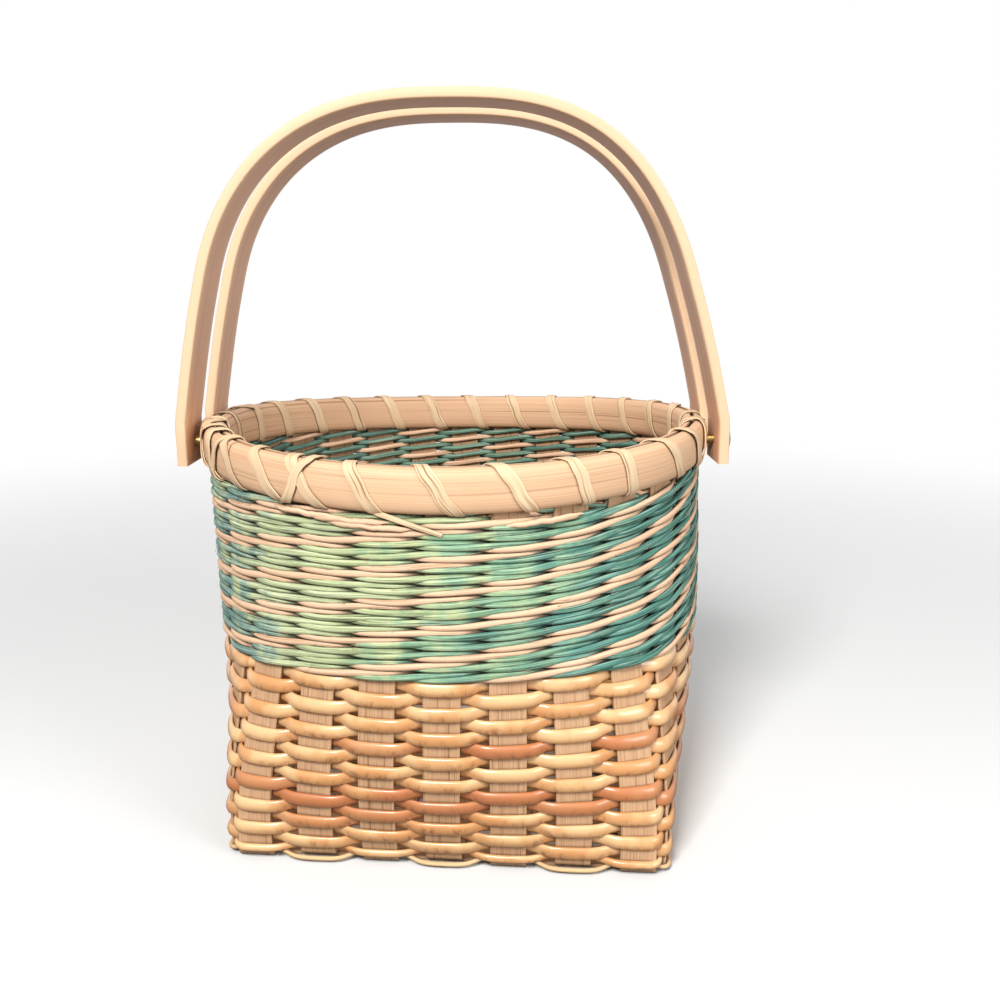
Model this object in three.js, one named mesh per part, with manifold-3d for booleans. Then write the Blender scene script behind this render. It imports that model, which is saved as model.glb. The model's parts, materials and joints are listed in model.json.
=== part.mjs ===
// Woven basket with two swing handles: a square plaited base, a wall that turns round higher up, a lashed rim.
// Millimetres, +Z up, front towards -Y. The origin lies under the rim's middle, on the surface it stands on.
import * as THREE from 'three';
import { mergeVertices } from 'three/addons/utils/BufferGeometryUtils.js';
import Module from 'manifold-3d';

const wasm = await Module();
wasm.setup();

// Flat reed strips: seven each way, plaited across the base, both ends turned up as wall stakes.
const stripsEachWay = 7;
const stripWidth = 12.7;
const stripThickness = 1.1;
const stripPitch = 23; // spacing across the base
const stripTurnRadius = 3; // centre line of the bend at the foot of the wall
const cornerMargin = 3.15; // from the outermost strip's edge to the wall beyond it

// Fits between pieces that are woven, lashed or bolted together.
const weaveGap = 0.3;
const lashGap = 0.55;
const boreGap = 0.35;
const legGap = 0.35; // a handle's leg to the lashing that it swings past

// Wall: the stakes' middle surface, square at the foot and round at the top.
const rimMiddleRadius = 93.5;
const roundHeight = 130; // where the wall has become round
const openingPower = 3.3; // how early it opens to the rim's width
const roundingPower = 2.1; // how early its corners round off
const baseTurn = -5.2; // degrees the hand-woven base sits turned against the handles
const baseShift = 4; // how far the base's middle sits to the right of the rim's
const rimRise = 4.7; // how much higher the rim stands at the handles than at front and back

// Lower wall: half-round cane, over one stake and under the next.
const caneRows = 15;
const caneWidth = 4.35;
const caneThickness = 1.9;
const brownRows = [5, 6, 10]; // counted from the foot
const footCaneWidth = 2.6; // narrower strand under the first full row
const footReed = 1.8; // thin reed row that binds the turned-up foot
const footReedDip = 0.95; // it dips this much outside a stake and climbs as much inside

// Upper wall: rounds of three-rod wale, two rods in front of each stake and one behind.
const waleRounds = 15;
const rodDiameter = 1.8;
const waleSlack = 0.1; // left in each round as the rods are packed down
const waleDip = 1.15; // outside, the rods draw in this much as they cross between two stakes
const waleInside = 1.7; // mean depth of the inner face behind a stake, where only one rod in three shows
const waleInsideDip = 0.8; // inside, the rods draw in this much between two stakes

// Rim: two chamfered bands that clamp the stake ends, under one lashing.
const bandHeight = 15;
const bandThickness = 3.7;
const bandChamferWidth = 1.5;
const bandChamferHeight = 3.5;
const stakeEndDrop = 1.2; // stake ends stop this far under the rim's top
const lashWidth = 4.5;
const lashThickness = 0.6;
const lashTopShare = 0.09; // part of a wrap's advance made across the rim's top
const lashOuterShare = 0.55; // part made slanting down the outer band
const lashTopShareAtBolt = 0.5; // a wrap that passes over a bolt crosses it on top
const lashCornerShare = 0.2; // part of a band's advance made on each of its chamfers

// Swing handles: bent wooden strips, side by side outside the rim, on a domed bolt at each foot.
const handleSpacing = 40; // between the middles of the two handles
const handleWidth = 23;
const handleThickness = 3.9;
const handleEdge = 0.7; // chamfer along the strip's edges
const handleRise = 125.8; // from the bolts to the crown's top
const archHalfWidth = 97; // outside of the arch above the rim, before the legs splay over it
const archSquareness = 2.65; // 2 is an ellipse, more is squarer
const archLean = 1.8; // the bent strip bulges this much further out on the left
const archLeanPower = 1.6; // how high up that bulge sits
const handleFoot = 8; // leg left below the bolt
const splayHeight = 60; // above the bolts, where the legs start to splay
const splayPower = 1.5; // how much more a leg splays lower down
const archSteps = 11; // each side of the crown
const boltShank = 3.6;
const boltHead = 10;
const boltDome = 2.2;
const boltCover = 1.3; // wood left between a bolt's end and the face of the inner band

const radians = Math.PI / 180;
const stakes = 4 * stripsEachWay;
const middleStrip = (stripsEachWay - 1) / 2;
const stakeStep = 360 / stakes;
const baseHalf = middleStrip * stripPitch + stripWidth / 2 + cornerMargin;
const lowLevel = stripThickness / 2;
const highLevel = lowLevel + stripThickness + weaveGap;
const wallFoot = highLevel + stripTurnRadius;
const caneDepth = stripThickness / 2 + weaveGap + caneThickness / 2; // from the stakes' middle surface
const footReedLevel = highLevel + stripThickness / 2 + weaveGap + footReed / 2 - footReedDip;
const footCane = footReedLevel + footReed / 2 + weaveGap + footCaneWidth / 2;
const firstCane = footCane + footCaneWidth / 2 + weaveGap + caneWidth / 2;
const canePitch = caneWidth + weaveGap;
const waleBottom = firstCane + (caneRows - 1) * canePitch + caneWidth / 2 + weaveGap;
const waleTop = waleBottom + waleRounds * (2 * rodDiameter + waleSlack);
const waleHalf = stripThickness / 2 + weaveGap + rodDiameter;
const rimBottom = waleTop + lashThickness + weaveGap + lashGap;
const rimTop = rimBottom + bandHeight;
const bandSeat = stripThickness / 2 + weaveGap;
const lashLift = lashGap + lashThickness / 2;
const lashRadius = rimMiddleRadius + bandSeat + bandThickness + lashLift;
const boltHeight = rimBottom + bandHeight / 2 + rimRise * (1 - (handleSpacing / 2 / rimMiddleRadius) ** 2);

const materials = {
  strip: { color: 0xc9a083, roughness: 0.72, metalness: 0 },
  cane: { color: 0xdca663, roughness: 0.34, metalness: 0 },
  brownCane: { color: 0xb9743f, roughness: 0.36, metalness: 0 },
  reed: { color: 0xe2bb86, roughness: 0.6, metalness: 0 },
  wale: { color: 0x5f9c88, roughness: 0.7, metalness: 0 },
  band: { color: 0xdcb792, roughness: 0.62, metalness: 0 },
  lash: { color: 0xe8cda6, roughness: 0.6, metalness: 0 },
  handle: { color: 0xdfae8c, roughness: 0.48, metalness: 0 },
  brass: { color: 0xa8894f, roughness: 0.36, metalness: 0.9 },
};

const basket = new THREE.Group();

function addMesh(name, geometry, material) {
  const mesh = new THREE.Mesh(geometry, new THREE.MeshStandardMaterial(materials[material]));
  mesh.name = name;
  basket.add(mesh);
  return mesh;
}

// Joins rings of points into one closed skin. Each ring has the same number of points, counter-clockwise seen
// against the way the rings advance. A four-sided facet is split along the diagonal that lies further in, so a
// twisted strip never grows past its thickness.
function loft(rings, closed = false) {
  const size = rings[0].length;
  const points = rings.flat();
  const faces = [];
  const last = closed ? rings.length : rings.length - 1;
  const corner = new THREE.Vector3();
  const plane = new THREE.Plane();
  for (let i = 0; i < last; i += 1) {
    const here = i * size;
    const next = ((i + 1) % rings.length) * size;
    for (let j = 0; j < size; j += 1) {
      const k = (j + 1) % size;
      const [a, b, c, d] = [here + j, here + k, next + k, next + j];
      plane.setFromCoplanarPoints(points[a], points[b], points[c]);
      corner.copy(points[d]);
      if (plane.distanceToPoint(corner) >= 0) {
        faces.push(a, b, c, a, c, d);
      } else {
        faces.push(a, b, d, b, c, d);
      }
    }
  }
  if (!closed) {
    const end = (rings.length - 1) * size;
    for (let j = 1; j < size - 1; j += 1) {
      faces.push(0, j + 1, j, end, end + j, end + j + 1);
    }
  }
  const geometry = new THREE.BufferGeometry();
  geometry.setAttribute('position', new THREE.Float32BufferAttribute(points.flatMap((p) => p.toArray()), 3));
  geometry.setIndex(faces);
  return geometry;
}

function toSolid(source) {
  const bare = source.clone();
  bare.deleteAttribute('normal');
  bare.deleteAttribute('uv');
  const merged = mergeVertices(bare, 1e-5);
  return new wasm.Manifold(new wasm.Mesh({
    numProp: 3,
    vertProperties: new Float32Array(merged.attributes.position.array),
    triVerts: new Uint32Array(merged.index.array),
  }));
}

function fromSolid(solid) {
  const mesh = solid.getMesh();
  const geometry = new THREE.BufferGeometry();
  geometry.setAttribute('position', new THREE.BufferAttribute(new Float32Array(mesh.vertProperties), 3));
  geometry.setIndex(new THREE.BufferAttribute(new Uint32Array(mesh.triVerts), 1));
  return geometry;
}

function cut(geometry, cutters) {
  let solid = toSolid(geometry);
  for (const cutter of cutters) {
    solid = solid.subtract(toSolid(cutter));
  }
  return fromSolid(solid);
}

// Angles are counted from the front, counter-clockwise seen from above.
const outward = (degrees) => new THREE.Vector3(Math.sin(degrees * radians), -Math.cos(degrees * radians), 0);
const along = (degrees) => new THREE.Vector3(Math.cos(degrees * radians), Math.sin(degrees * radians), 0);
const riseAt = (degrees) => rimRise * Math.sin(degrees * radians) ** 2;
const up = new THREE.Vector3(0, 0, 1);

function offset(point, ...moves) {
  const moved = point.clone();
  for (let i = 0; i < moves.length; i += 2) {
    moved.addScaledVector(moves[i], moves[i + 1]);
  }
  return moved;
}

// What is left of the climb from the wall's foot (1) to where it has become round (0).
function climbLeft(z) {
  return 1 - THREE.MathUtils.clamp((z - wallFoot) / (roundHeight - wallFoot), 0, 1);
}

const roundness = (z) => 1 - climbLeft(z) ** roundingPower;
const turnAt = (z) => baseTurn * climbLeft(z);
const baseMiddle = new THREE.Vector3(baseShift, 0, 0);

// The square's place and the circle's place are both given as on a wall that is as wide as the base.
function wallPoint(side, squareX, squareY, rimAngle, z) {
  const left = climbLeft(z);
  const size = THREE.MathUtils.lerp(rimMiddleRadius, baseHalf, left ** openingPower) / baseHalf;
  const square = new THREE.Vector3(squareX, -squareY, 0);
  const round = outward(rimAngle).multiplyScalar(baseHalf);
  const point = square.lerp(round, roundness(z)).multiplyScalar(size);
  point.applyAxisAngle(up, (90 * side + turnAt(z)) * radians).addScaledVector(baseMiddle, left);
  point.z = z;
  return point;
}

// Stakes are numbered from the left end of the front, counter-clockwise seen from above.
function stakeFrame(index, z) {
  const side = Math.floor(index / stripsEachWay);
  const place = index % stripsEachWay - middleStrip;
  const facing = 90 * side + turnAt(z) + place * stakeStep * roundness(z);
  return {
    point: wallPoint(side, place * stripPitch, baseHalf, place * stakeStep, z),
    normal: outward(facing),
    tangent: along(facing),
  };
}

const cornerPoint = (side, z) => wallPoint(side, baseHalf, baseHalf, 45, z);
const stakeAngle = (index) => (
  (index % stripsEachWay - middleStrip) * stakeStep + 90 * Math.floor(index / stripsEachWay)
);
const endsSide = (index) => index % stripsEachWay === stripsEachWay - 1;

// A height in the wale or rim, which fans out towards the raised sides.
function fanned(z, degrees) {
  return z + riseAt(degrees) * THREE.MathUtils.clamp((z - waleBottom) / (waleTop - waleBottom), 0, 1);
}

const stakeTop = rimTop - stakeEndDrop;
const lowerShares = [0, 0.14, 0.28, 0.44, 0.61, 0.8];
const lowerLevels = lowerShares.map((share) => THREE.MathUtils.lerp(wallFoot, waleBottom, share));
const waleLevels = [0, 1 / 4, 1 / 2].map((share) => THREE.MathUtils.lerp(waleBottom, waleTop, share));
const stakeLevels = [...lowerLevels, ...waleLevels, waleTop, stakeTop];

function stripSection(frame, sense, width, thickness) {
  const half = width / 2 * sense;
  const thick = thickness / 2;
  return [
    offset(frame.point, frame.tangent, -half, frame.normal, -thick),
    offset(frame.point, frame.tangent, half, frame.normal, -thick),
    offset(frame.point, frame.tangent, half, frame.normal, thick),
    offset(frame.point, frame.tangent, -half, frame.normal, thick),
  ];
}

// One strip: down one wall, through the base over and under the crossing strips, and up the opposite wall.
function stripGeometry(firstStake, lastStake, startsLow) {
  const turn = new THREE.Matrix4().makeRotationZ(baseTurn * radians);
  const side = Math.floor(firstStake / stripsEachWay);
  const place = firstStake % stripsEachWay - middleStrip;
  const way = outward(90 * side).applyMatrix4(turn);
  const across = along(90 * side).applyMatrix4(turn);
  const line = offset(baseMiddle, across, place * stripPitch);
  const down = up.clone().negate();
  const rings = [];
  const level = (crossing) => ((crossing + (startsLow ? 0 : 1)) % 2 === 0 ? lowLevel : highLevel);
  const wall = (stake, sense, levels) => levels.map((z) => {
    const height = fanned(z, stakeAngle(stake));
    return stripSection(stakeFrame(stake, height), sense, stripWidth, stripThickness);
  });
  const inBase = (distance, z, normal, thickness = stripThickness) => stripSection(
    { point: offset(line, way, distance, up, z), normal, tangent: across },
    1, stripWidth, thickness,
  );
  const bend = (z, sense) => {
    const flat = baseHalf - stripTurnRadius;
    const slope = down.clone().add(way.clone().multiplyScalar(sense)).normalize();
    const reach = flat + stripTurnRadius * Math.SQRT1_2;
    const lift = z + stripTurnRadius * (1 - Math.SQRT1_2);
    return [
      inBase(sense * reach, lift, slope),
      inBase(sense * flat, z, down),
    ];
  };
  const foot = (z, sense) => inBase(sense * baseHalf, z + stripTurnRadius, way.clone().multiplyScalar(sense));
  const first = level(0);
  const final = level(stripsEachWay - 1);
  rings.push(...wall(firstStake, 1, [...stakeLevels].reverse()));
  if (first + stripTurnRadius < wallFoot - weaveGap) {
    rings.push(foot(first, 1));
  }
  rings.push(...bend(first, 1));
  for (let crossing = 0; crossing < stripsEachWay; crossing += 1) {
    const middle = (middleStrip - crossing) * stripPitch;
    const z = level(crossing);
    const reach = stripWidth / 2 + weaveGap;
    if (crossing > 0) {
      rings.push(inBase(middle + reach, z, down));
    }
    if (crossing < stripsEachWay - 1) {
      rings.push(inBase(middle - reach, z, down));
    }
  }
  rings.push(...bend(final, -1).reverse());
  if (final + stripTurnRadius < wallFoot - weaveGap) {
    rings.push(foot(final, -1));
  }
  rings.push(...wall(lastStake, -1, stakeLevels));
  return loft(rings);
}

// One closed row. It lies straight across each stake, outside or inside it, and passes each corner on the wall's
// middle surface. sectionAt draws the section from the wall's frame and the side that the row is on there. The
// corner stakes count as even.
function rowGeometry(evenOutside, sectionAt) {
  const rings = [];
  for (let stake = 0; stake < stakes; stake += 1) {
    const outside = (stake % 2 === 0) === evenOutside;
    for (const edge of [-1, 1]) {
      rings.push(sectionAt((z) => {
        const frame = stakeFrame(stake, z);
        frame.point.addScaledVector(frame.tangent, edge * stripWidth / 2);
        return frame;
      }, outside ? 1 : -1));
    }
    if (endsSide(stake)) {
      const side = Math.floor(stake / stripsEachWay);
      rings.push(sectionAt((z) => {
        const facing = 90 * side + 45 + turnAt(z);
        return { point: cornerPoint(side, z), normal: outward(facing), tangent: along(facing) };
      }, 0));
    }
  }
  return loft(rings, true);
}

function caneRow(middle, width, evenOutside) {
  return rowGeometry(evenOutside, (frameAt, side) => {
    const at = (depth, height) => {
      const { point, normal } = frameAt(middle + height);
      return offset(point, normal, side * caneDepth + depth);
    };
    return [
      at(-caneThickness / 2, -width / 2),
      at(-caneThickness / 2, width / 2),
      at(caneThickness / 2, 0),
    ];
  });
}

function footRow() {
  return rowGeometry(false, (frameAt, side) => {
    const { point, normal } = frameAt(footReedLevel - side * footReedDip);
    const depth = side * (stripThickness / 2 + weaveGap + footReed / 2);
    const half = footReed / 2;
    return [
      offset(point, normal, depth - half),
      offset(point, normal, depth, up, half),
      offset(point, normal, depth + half),
      offset(point, normal, depth, up, -half),
    ];
  });
}

// The wale as one wall with a slot for each stake. Its faces lie at the rods' mean depth, which is less between
// two stakes, where the rods cross.
function waleGeometry() {
  const levels = [...waleLevels, waleTop];
  const atEdge = (stake, edge) => {
    const reach = edge * (stripWidth / 2 - weaveGap);
    const bearing = stakeAngle(stake) + reach / rimMiddleRadius / radians;
    const at = (z, depth) => {
      const frame = stakeFrame(stake, fanned(z, bearing));
      return offset(frame.point, frame.tangent, reach, frame.normal, depth);
    };
    return (inside, outside) => [
      ...levels.map((z) => at(z, -inside)),
      ...levels.map((z) => at(z, outside)).reverse(),
    ];
  };
  const over = [waleInside, waleHalf];
  const between = [waleInside - waleInsideDip, waleHalf - waleDip];
  const rings = [];
  for (let stake = 0; stake < stakes; stake += 1) {
    const next = atEdge((stake + 1) % stakes, -1)(...between);
    const crossing = atEdge(stake, 1)(...between).map((point, i) => point.lerp(next[i], 0.5));
    rings.push(atEdge(stake, -1)(...over), atEdge(stake, 1)(...over), crossing);
  }
  const slots = [];
  for (let stake = 0; stake < stakes; stake += 1) {
    const heights = [waleBottom - rodDiameter, ...waleLevels.slice(1), waleTop + rodDiameter];
    slots.push(loft(heights.map((z) => stripSection(
      stakeFrame(stake, fanned(z, stakeAngle(stake))),
      1, stripWidth + 2 * weaveGap, stripThickness + 2 * weaveGap,
    )).reverse()));
  }
  return cut(loft(rings, true), slots);
}

// A rim band, flat against the stakes. side is 1 outside them and -1 inside.
function bandGeometry(side) {
  const rings = [];
  const seat = side * bandSeat;
  const body = side * (bandSeat + bandThickness);
  const chamfer = side * (bandSeat + bandThickness - bandChamferWidth);
  const profile = [
    [seat, rimBottom],
    [seat, rimTop],
    [chamfer, rimTop],
    [body, rimTop - bandChamferHeight],
    [body, rimBottom + bandChamferHeight],
    [chamfer, rimBottom],
  ];
  if (side < 0) {
    profile.reverse();
  }
  const facets = 2 * stakes;
  for (let i = 0; i < facets; i += 1) {
    const angle = (i + 0.5) * 360 / facets;
    const stretch = 1 / Math.cos(Math.PI / facets);
    rings.push(profile.map(([depth, z]) => offset(
      new THREE.Vector3(), outward(angle), (rimMiddleRadius + depth) * stretch, up, z + riseAt(angle),
    )));
  }
  return loft(rings, true);
}

// Bolts: on the handles' axes, at both sides.
const bolts = [
  { name: 'right_front', side: 1, y: -handleSpacing / 2 },
  { name: 'right_back', side: 1, y: handleSpacing / 2 },
  { name: 'left_back', side: -1, y: handleSpacing / 2 },
  { name: 'left_front', side: -1, y: -handleSpacing / 2 },
];
const boltAngle = (bolt) => Math.atan2(bolt.side * rimMiddleRadius, -bolt.y) / radians;

function boltPassed(from, to) {
  return bolts.some((bolt) => {
    const angle = THREE.MathUtils.euclideanModulo(boltAngle(bolt) - from, 360);
    return angle < to - from;
  });
}

// The least distance, measured on points, between stretches of a closed winding over half a turn apart.
function leastGapToItself(rings, ringsPerTurn) {
  let least = Infinity;
  rings.forEach((ring, i) => {
    rings.forEach((other, j) => {
      const apart = THREE.MathUtils.euclideanModulo(j - i, rings.length);
      if (apart > ringsPerTurn / 2 && apart <= rings.length / 2) {
        ring.forEach((a) => other.forEach((b) => {
          least = Math.min(least, a.distanceTo(b));
        }));
      }
    });
  });
  return least;
}

// The lashing: one flat strand that winds round both bands, passing between the stakes under each wrap.
function lashGeometry() {
  const half = bandSeat + bandThickness;
  const shoulder = half - bandChamferWidth;
  const tilt = Math.atan2(bandChamferWidth, bandChamferHeight) / 2;
  const flat = Math.PI / 4 - tilt;
  const nearFlat = lashLift * Math.tan(flat);
  const nearSide = lashLift * Math.tan(tilt);
  const middle = (rimBottom + rimTop) / 2;
  const rise = bandHeight / 2;
  // Around the rim's section from the inside foot, up, over and down: depth, height, direction off the rim.
  const corners = [
    [-shoulder - nearFlat, middle - rise - lashLift],
    [-half - lashLift, middle - rise + bandChamferHeight - nearSide],
    [-half - lashLift, middle + rise - bandChamferHeight + nearSide],
    [-shoulder - nearFlat, middle + rise + lashLift],
    [shoulder + nearFlat, middle + rise + lashLift],
    [half + lashLift, middle + rise - bandChamferHeight + nearSide],
    [half + lashLift, middle - rise + bandChamferHeight - nearSide],
    [shoulder + nearFlat, middle - rise - lashLift],
  ];
  const facing = [
    [-Math.sin(flat), -Math.cos(flat)],
    [-1, -Math.tan(tilt)],
    [-1, Math.tan(tilt)],
    [-Math.sin(flat), Math.cos(flat)],
    [Math.sin(flat), Math.cos(flat)],
    [1, Math.tan(tilt)],
    [1, -Math.tan(tilt)],
    [Math.sin(flat), -Math.cos(flat)],
  ];
  const path = [];
  for (let wrap = 0; wrap < stakes; wrap += 1) {
    const from = (wrap + 0.5) * stakeStep;
    const crossing = boltPassed(from, from + stakeStep);
    const topShare = crossing ? lashTopShareAtBolt : lashTopShare;
    const outerShare = crossing ? (1 - topShare) / 2 : lashOuterShare;
    const innerShare = 1 - topShare - outerShare;
    const steps = [0, lashCornerShare, 1 - lashCornerShare, 1];
    const shares = steps.map((part) => part * innerShare);
    shares.push(...steps.map((part) => innerShare + topShare + part * outerShare));
    corners.forEach(([depth, z], i) => {
      const angle = from + shares[i] * stakeStep;
      path.push({
        point: offset(new THREE.Vector3(), outward(angle), rimMiddleRadius + depth, up, z + riseAt(angle)),
        normal: offset(new THREE.Vector3(), outward(angle), facing[i][0], up, facing[i][1]).normalize(),
        tangent: along(angle),
      });
    });
  }
  // A ring lies along the bands' edge that the strand folds over, so the strand stays flat between the folds.
  const rings = path.map((frame, i) => {
    const before = path[(i + path.length - 1) % path.length].point;
    const after = path[(i + 1) % path.length].point;
    const slant = after.clone().sub(before).normalize().dot(frame.tangent);
    return stripSection(frame, 1, lashWidth / Math.sqrt(1 - slant ** 2), lashThickness);
  });
  console.log(`rim_lashing: least gap to itself ${leastGapToItself(rings, corners.length).toFixed(2)} mm`);
  return loft(rings, true);
}

// A leg stands just clear of the lashing at the corner of its foot that swings nearest the rim's widest point.
const lashOuter = lashRadius + lashThickness / 2;
const footReach = handleSpacing / 2 - Math.hypot(handleWidth / 2, handleFoot);
const legMiddle = Math.sqrt(lashOuter ** 2 - footReach ** 2) + legGap + handleThickness / 2;
const archMiddle = archHalfWidth - handleThickness / 2;
const archRise = handleRise - handleThickness / 2;

// Half width of the handle's centre line at a height over the bolts.
function archWidth(height) {
  const climbed = THREE.MathUtils.clamp(height / archRise, 0, 1);
  const arch = archMiddle * (1 - climbed ** archSquareness) ** (1 / archSquareness);
  const splayed = 1 - THREE.MathUtils.clamp((height - handleFoot) / (splayHeight - handleFoot), 0, 1);
  return arch + (legMiddle - archMiddle) * splayed ** splayPower;
}

// How far the handle's middle lies to the left at a height over the bolts.
function archBulge(height) {
  const climbed = THREE.MathUtils.clamp(height / archRise, 0, 1);
  return archLean * Math.sin(Math.PI * climbed ** archLeanPower);
}

// One handle, crown up. side is -1 for the front handle and 1 for the back one.
function handleGeometry(side) {
  const [w, t] = [handleWidth / 2, handleThickness / 2];
  const outline = [
    [-w, -t + handleEdge], [-w + handleEdge, -t], [w - handleEdge, -t], [w, -t + handleEdge],
    [w, t - handleEdge], [w - handleEdge, t], [-w + handleEdge, t], [-w, t - handleEdge],
  ];
  const heights = [-handleFoot, ...[0, 0.25, 0.5, 0.75, 1].map((part) => (
    THREE.MathUtils.lerp(handleFoot, splayHeight, part)
  ))];
  const shoulder = Math.asin((splayHeight / archRise) ** (archSquareness / 2));
  for (let i = 1; i <= archSteps; i += 1) {
    const turn = THREE.MathUtils.lerp(shoulder, Math.PI / 2, i / archSteps);
    heights.push(archRise * Math.sin(turn) ** (2 / archSquareness));
  }
  const half = heights.map((height) => [archWidth(height) - archBulge(height), height]);
  const left = heights.slice(0, -1).reverse().map((height) => [-archWidth(height) - archBulge(height), height]);
  const path = [...half, ...left];
  const level = new THREE.Vector3(0, 1, 0);
  const rings = path.map(([x, height], i) => {
    const before = path[Math.max(i - 1, 0)];
    const after = path[Math.min(i + 1, path.length - 1)];
    const way = new THREE.Vector3(after[0] - before[0], 0, after[1] - before[1]).normalize();
    const normal = way.clone().cross(level);
    const point = new THREE.Vector3(x, side * handleSpacing / 2, boltHeight + height);
    return outline.map(([u, v]) => offset(point, level, u, normal, v));
  });
  return loft(rings);
}

// Bolts lie along the handles' axes: a domed head outside the leg, and a shank that ends in the inner band.
const headSeat = legMiddle + handleThickness / 2 + weaveGap;
const bandFace = Math.sqrt((rimMiddleRadius - bandSeat - bandThickness) ** 2 - (handleSpacing / 2) ** 2);
const boltEnd = bandFace + boltCover;
const boltSides = 12;

// The bore for a bolt, through the leg, the outer band and the strip behind it, and into the inner band.
function boreGeometry(bolt) {
  const radius = boltShank / 2 + boreGap;
  const end = boltEnd - boreGap;
  const bore = new THREE.CylinderGeometry(radius, radius, headSeat - end, boltSides);
  bore.rotateZ(Math.PI / 2);
  bore.translate(bolt.side * (headSeat + end) / 2, bolt.y, boltHeight);
  return bore;
}

function alongBolt(profile, bolt) {
  const geometry = new THREE.LatheGeometry(profile.map(([r, x]) => new THREE.Vector2(r, x)), boltSides);
  geometry.rotateZ(-Math.PI / 2);
  if (bolt.side < 0) {
    geometry.rotateZ(Math.PI);
  }
  geometry.translate(0, bolt.y, boltHeight);
  return geometry;
}

function boltGeometry(bolt) {
  const shank = boltShank / 2;
  const profile = [[0, boltEnd], [shank, boltEnd], [shank, headSeat], [boltHead / 2, headSeat]];
  for (const turn of [20, 50, 90]) {
    const bulge = [boltHead / 2 * Math.cos(turn * radians), headSeat + boltDome * Math.sin(turn * radians)];
    profile.push(turn === 90 ? [0, bulge[1]] : bulge);
  }
  return alongBolt(profile, bolt);
}

const bores = bolts.map(boreGeometry);
const boltedPlaces = bolts.map((bolt) => Math.round(bolt.y / (rimMiddleRadius * stakeStep * radians)));

for (let i = 0; i < stripsEachWay; i += 1) {
  const number = i + 1;
  const frontStake = i;
  const backStake = 3 * stripsEachWay - 1 - i;
  const rightStake = stripsEachWay + i;
  const leftStake = 4 * stripsEachWay - 1 - i;
  addMesh(`strip_lengthwise_${number}`, stripGeometry(frontStake, backStake, i % 2 === 0), 'strip');
  const crossing = stripGeometry(rightStake, leftStake, i % 2 === 1);
  const bored = boltedPlaces.includes(i - middleStrip) ? cut(crossing, bores) : crossing;
  addMesh(`strip_crosswise_${number}`, bored, 'strip');
}

addMesh('foot_row', footRow(), 'reed');
addMesh('foot_cane_row', caneRow(footCane, footCaneWidth, true), 'cane');
for (let row = 1; row <= caneRows; row += 1) {
  const middle = firstCane + (row - 1) * canePitch;
  const tone = brownRows.includes(row) ? 'brownCane' : 'cane';
  addMesh(`cane_row_${String(row).padStart(2, '0')}`, caneRow(middle, caneWidth, row % 2 === 0), tone);
}
addMesh('wale', waleGeometry(), 'wale');
addMesh('rim_band_outer', cut(bandGeometry(1), bores), 'band');
addMesh('rim_band_inner', cut(bandGeometry(-1), bores), 'band');
addMesh('rim_lashing', lashGeometry(), 'lash');
addMesh('handle_front', cut(handleGeometry(-1), bores), 'handle');
addMesh('handle_back', cut(handleGeometry(1), bores), 'handle');
for (const bolt of bolts) {
  addMesh(`bolt_${bolt.name}`, boltGeometry(bolt), 'brass');
}

export default basket;
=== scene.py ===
"""A woven basket with two bent swing handles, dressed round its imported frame.

Metres, +Z up, front towards -Y. Angles round the basket are counted from the front, counter-clockwise seen
from above. Stakes are numbered from the left end of the front the same way, and a place q along the wall is a
stake's number where the stake stands.
"""

import json
import logging
import math
from dataclasses import dataclass
from enum import Enum

import bpy
import numpy as np
from bpy.types import Material, Node, NodeSocket, NodeTree, Object
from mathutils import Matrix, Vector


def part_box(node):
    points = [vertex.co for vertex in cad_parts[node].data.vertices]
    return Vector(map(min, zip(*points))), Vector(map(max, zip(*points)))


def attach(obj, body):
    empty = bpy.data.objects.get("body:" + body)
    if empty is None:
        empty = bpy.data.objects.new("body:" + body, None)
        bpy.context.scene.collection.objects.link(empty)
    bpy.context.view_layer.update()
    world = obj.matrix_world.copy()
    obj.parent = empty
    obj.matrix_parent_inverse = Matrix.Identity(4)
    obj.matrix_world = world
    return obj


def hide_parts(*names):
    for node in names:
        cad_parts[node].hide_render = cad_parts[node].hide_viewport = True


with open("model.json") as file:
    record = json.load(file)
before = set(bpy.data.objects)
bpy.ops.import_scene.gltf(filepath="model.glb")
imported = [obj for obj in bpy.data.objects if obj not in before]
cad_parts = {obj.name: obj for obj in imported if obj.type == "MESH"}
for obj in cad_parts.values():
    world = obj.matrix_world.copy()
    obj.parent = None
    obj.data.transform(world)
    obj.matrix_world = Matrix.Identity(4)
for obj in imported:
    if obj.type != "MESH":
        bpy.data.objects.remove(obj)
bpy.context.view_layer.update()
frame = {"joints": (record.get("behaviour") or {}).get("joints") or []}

log = logging.getLogger("basket")
Array = np.ndarray
MM = 0.001
UP = np.array([0.0, 0.0, 1.0])
WHITE = (1.0, 1.0, 1.0, 1.0)
# Reach, rays and range of the ambient occlusion that paints shade into crevices.
PAINTED_SHADE_REACH = 3.5 * MM
PAINTED_SHADE_RAYS = 4
PAINTED_SHADE_SPAN = (0.15, 0.8)


def linear(code: str) -> tuple[float, float, float, float]:
    """Turns a screen colour into the shader's linear colour.

    Args:
        code: six hexadecimal digits, red first.

    Returns:
        Red, green, blue and an alpha of 1.
    """
    parts = [int(code[i : i + 2], 16) / 255 for i in (0, 2, 4)]
    red, green, blue = (c / 12.92 if c <= 0.04045 else ((c + 0.055) / 1.055) ** 2.4 for c in parts)
    return red, green, blue, 1.0


def unit(vectors: Array) -> Array:
    """Scales each vector along an array's last axis to length 1."""
    return vectors / np.maximum(np.linalg.norm(vectors, axis=-1, keepdims=True), 1e-12)


def smooth(share: Array) -> Array:
    """Eases 0 to 1 with level ends: 3 s^2 - 2 s^3, held at 0 and 1 outside."""
    held = np.clip(share, 0, 1)
    return held * held * (3 - 2 * held)


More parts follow.
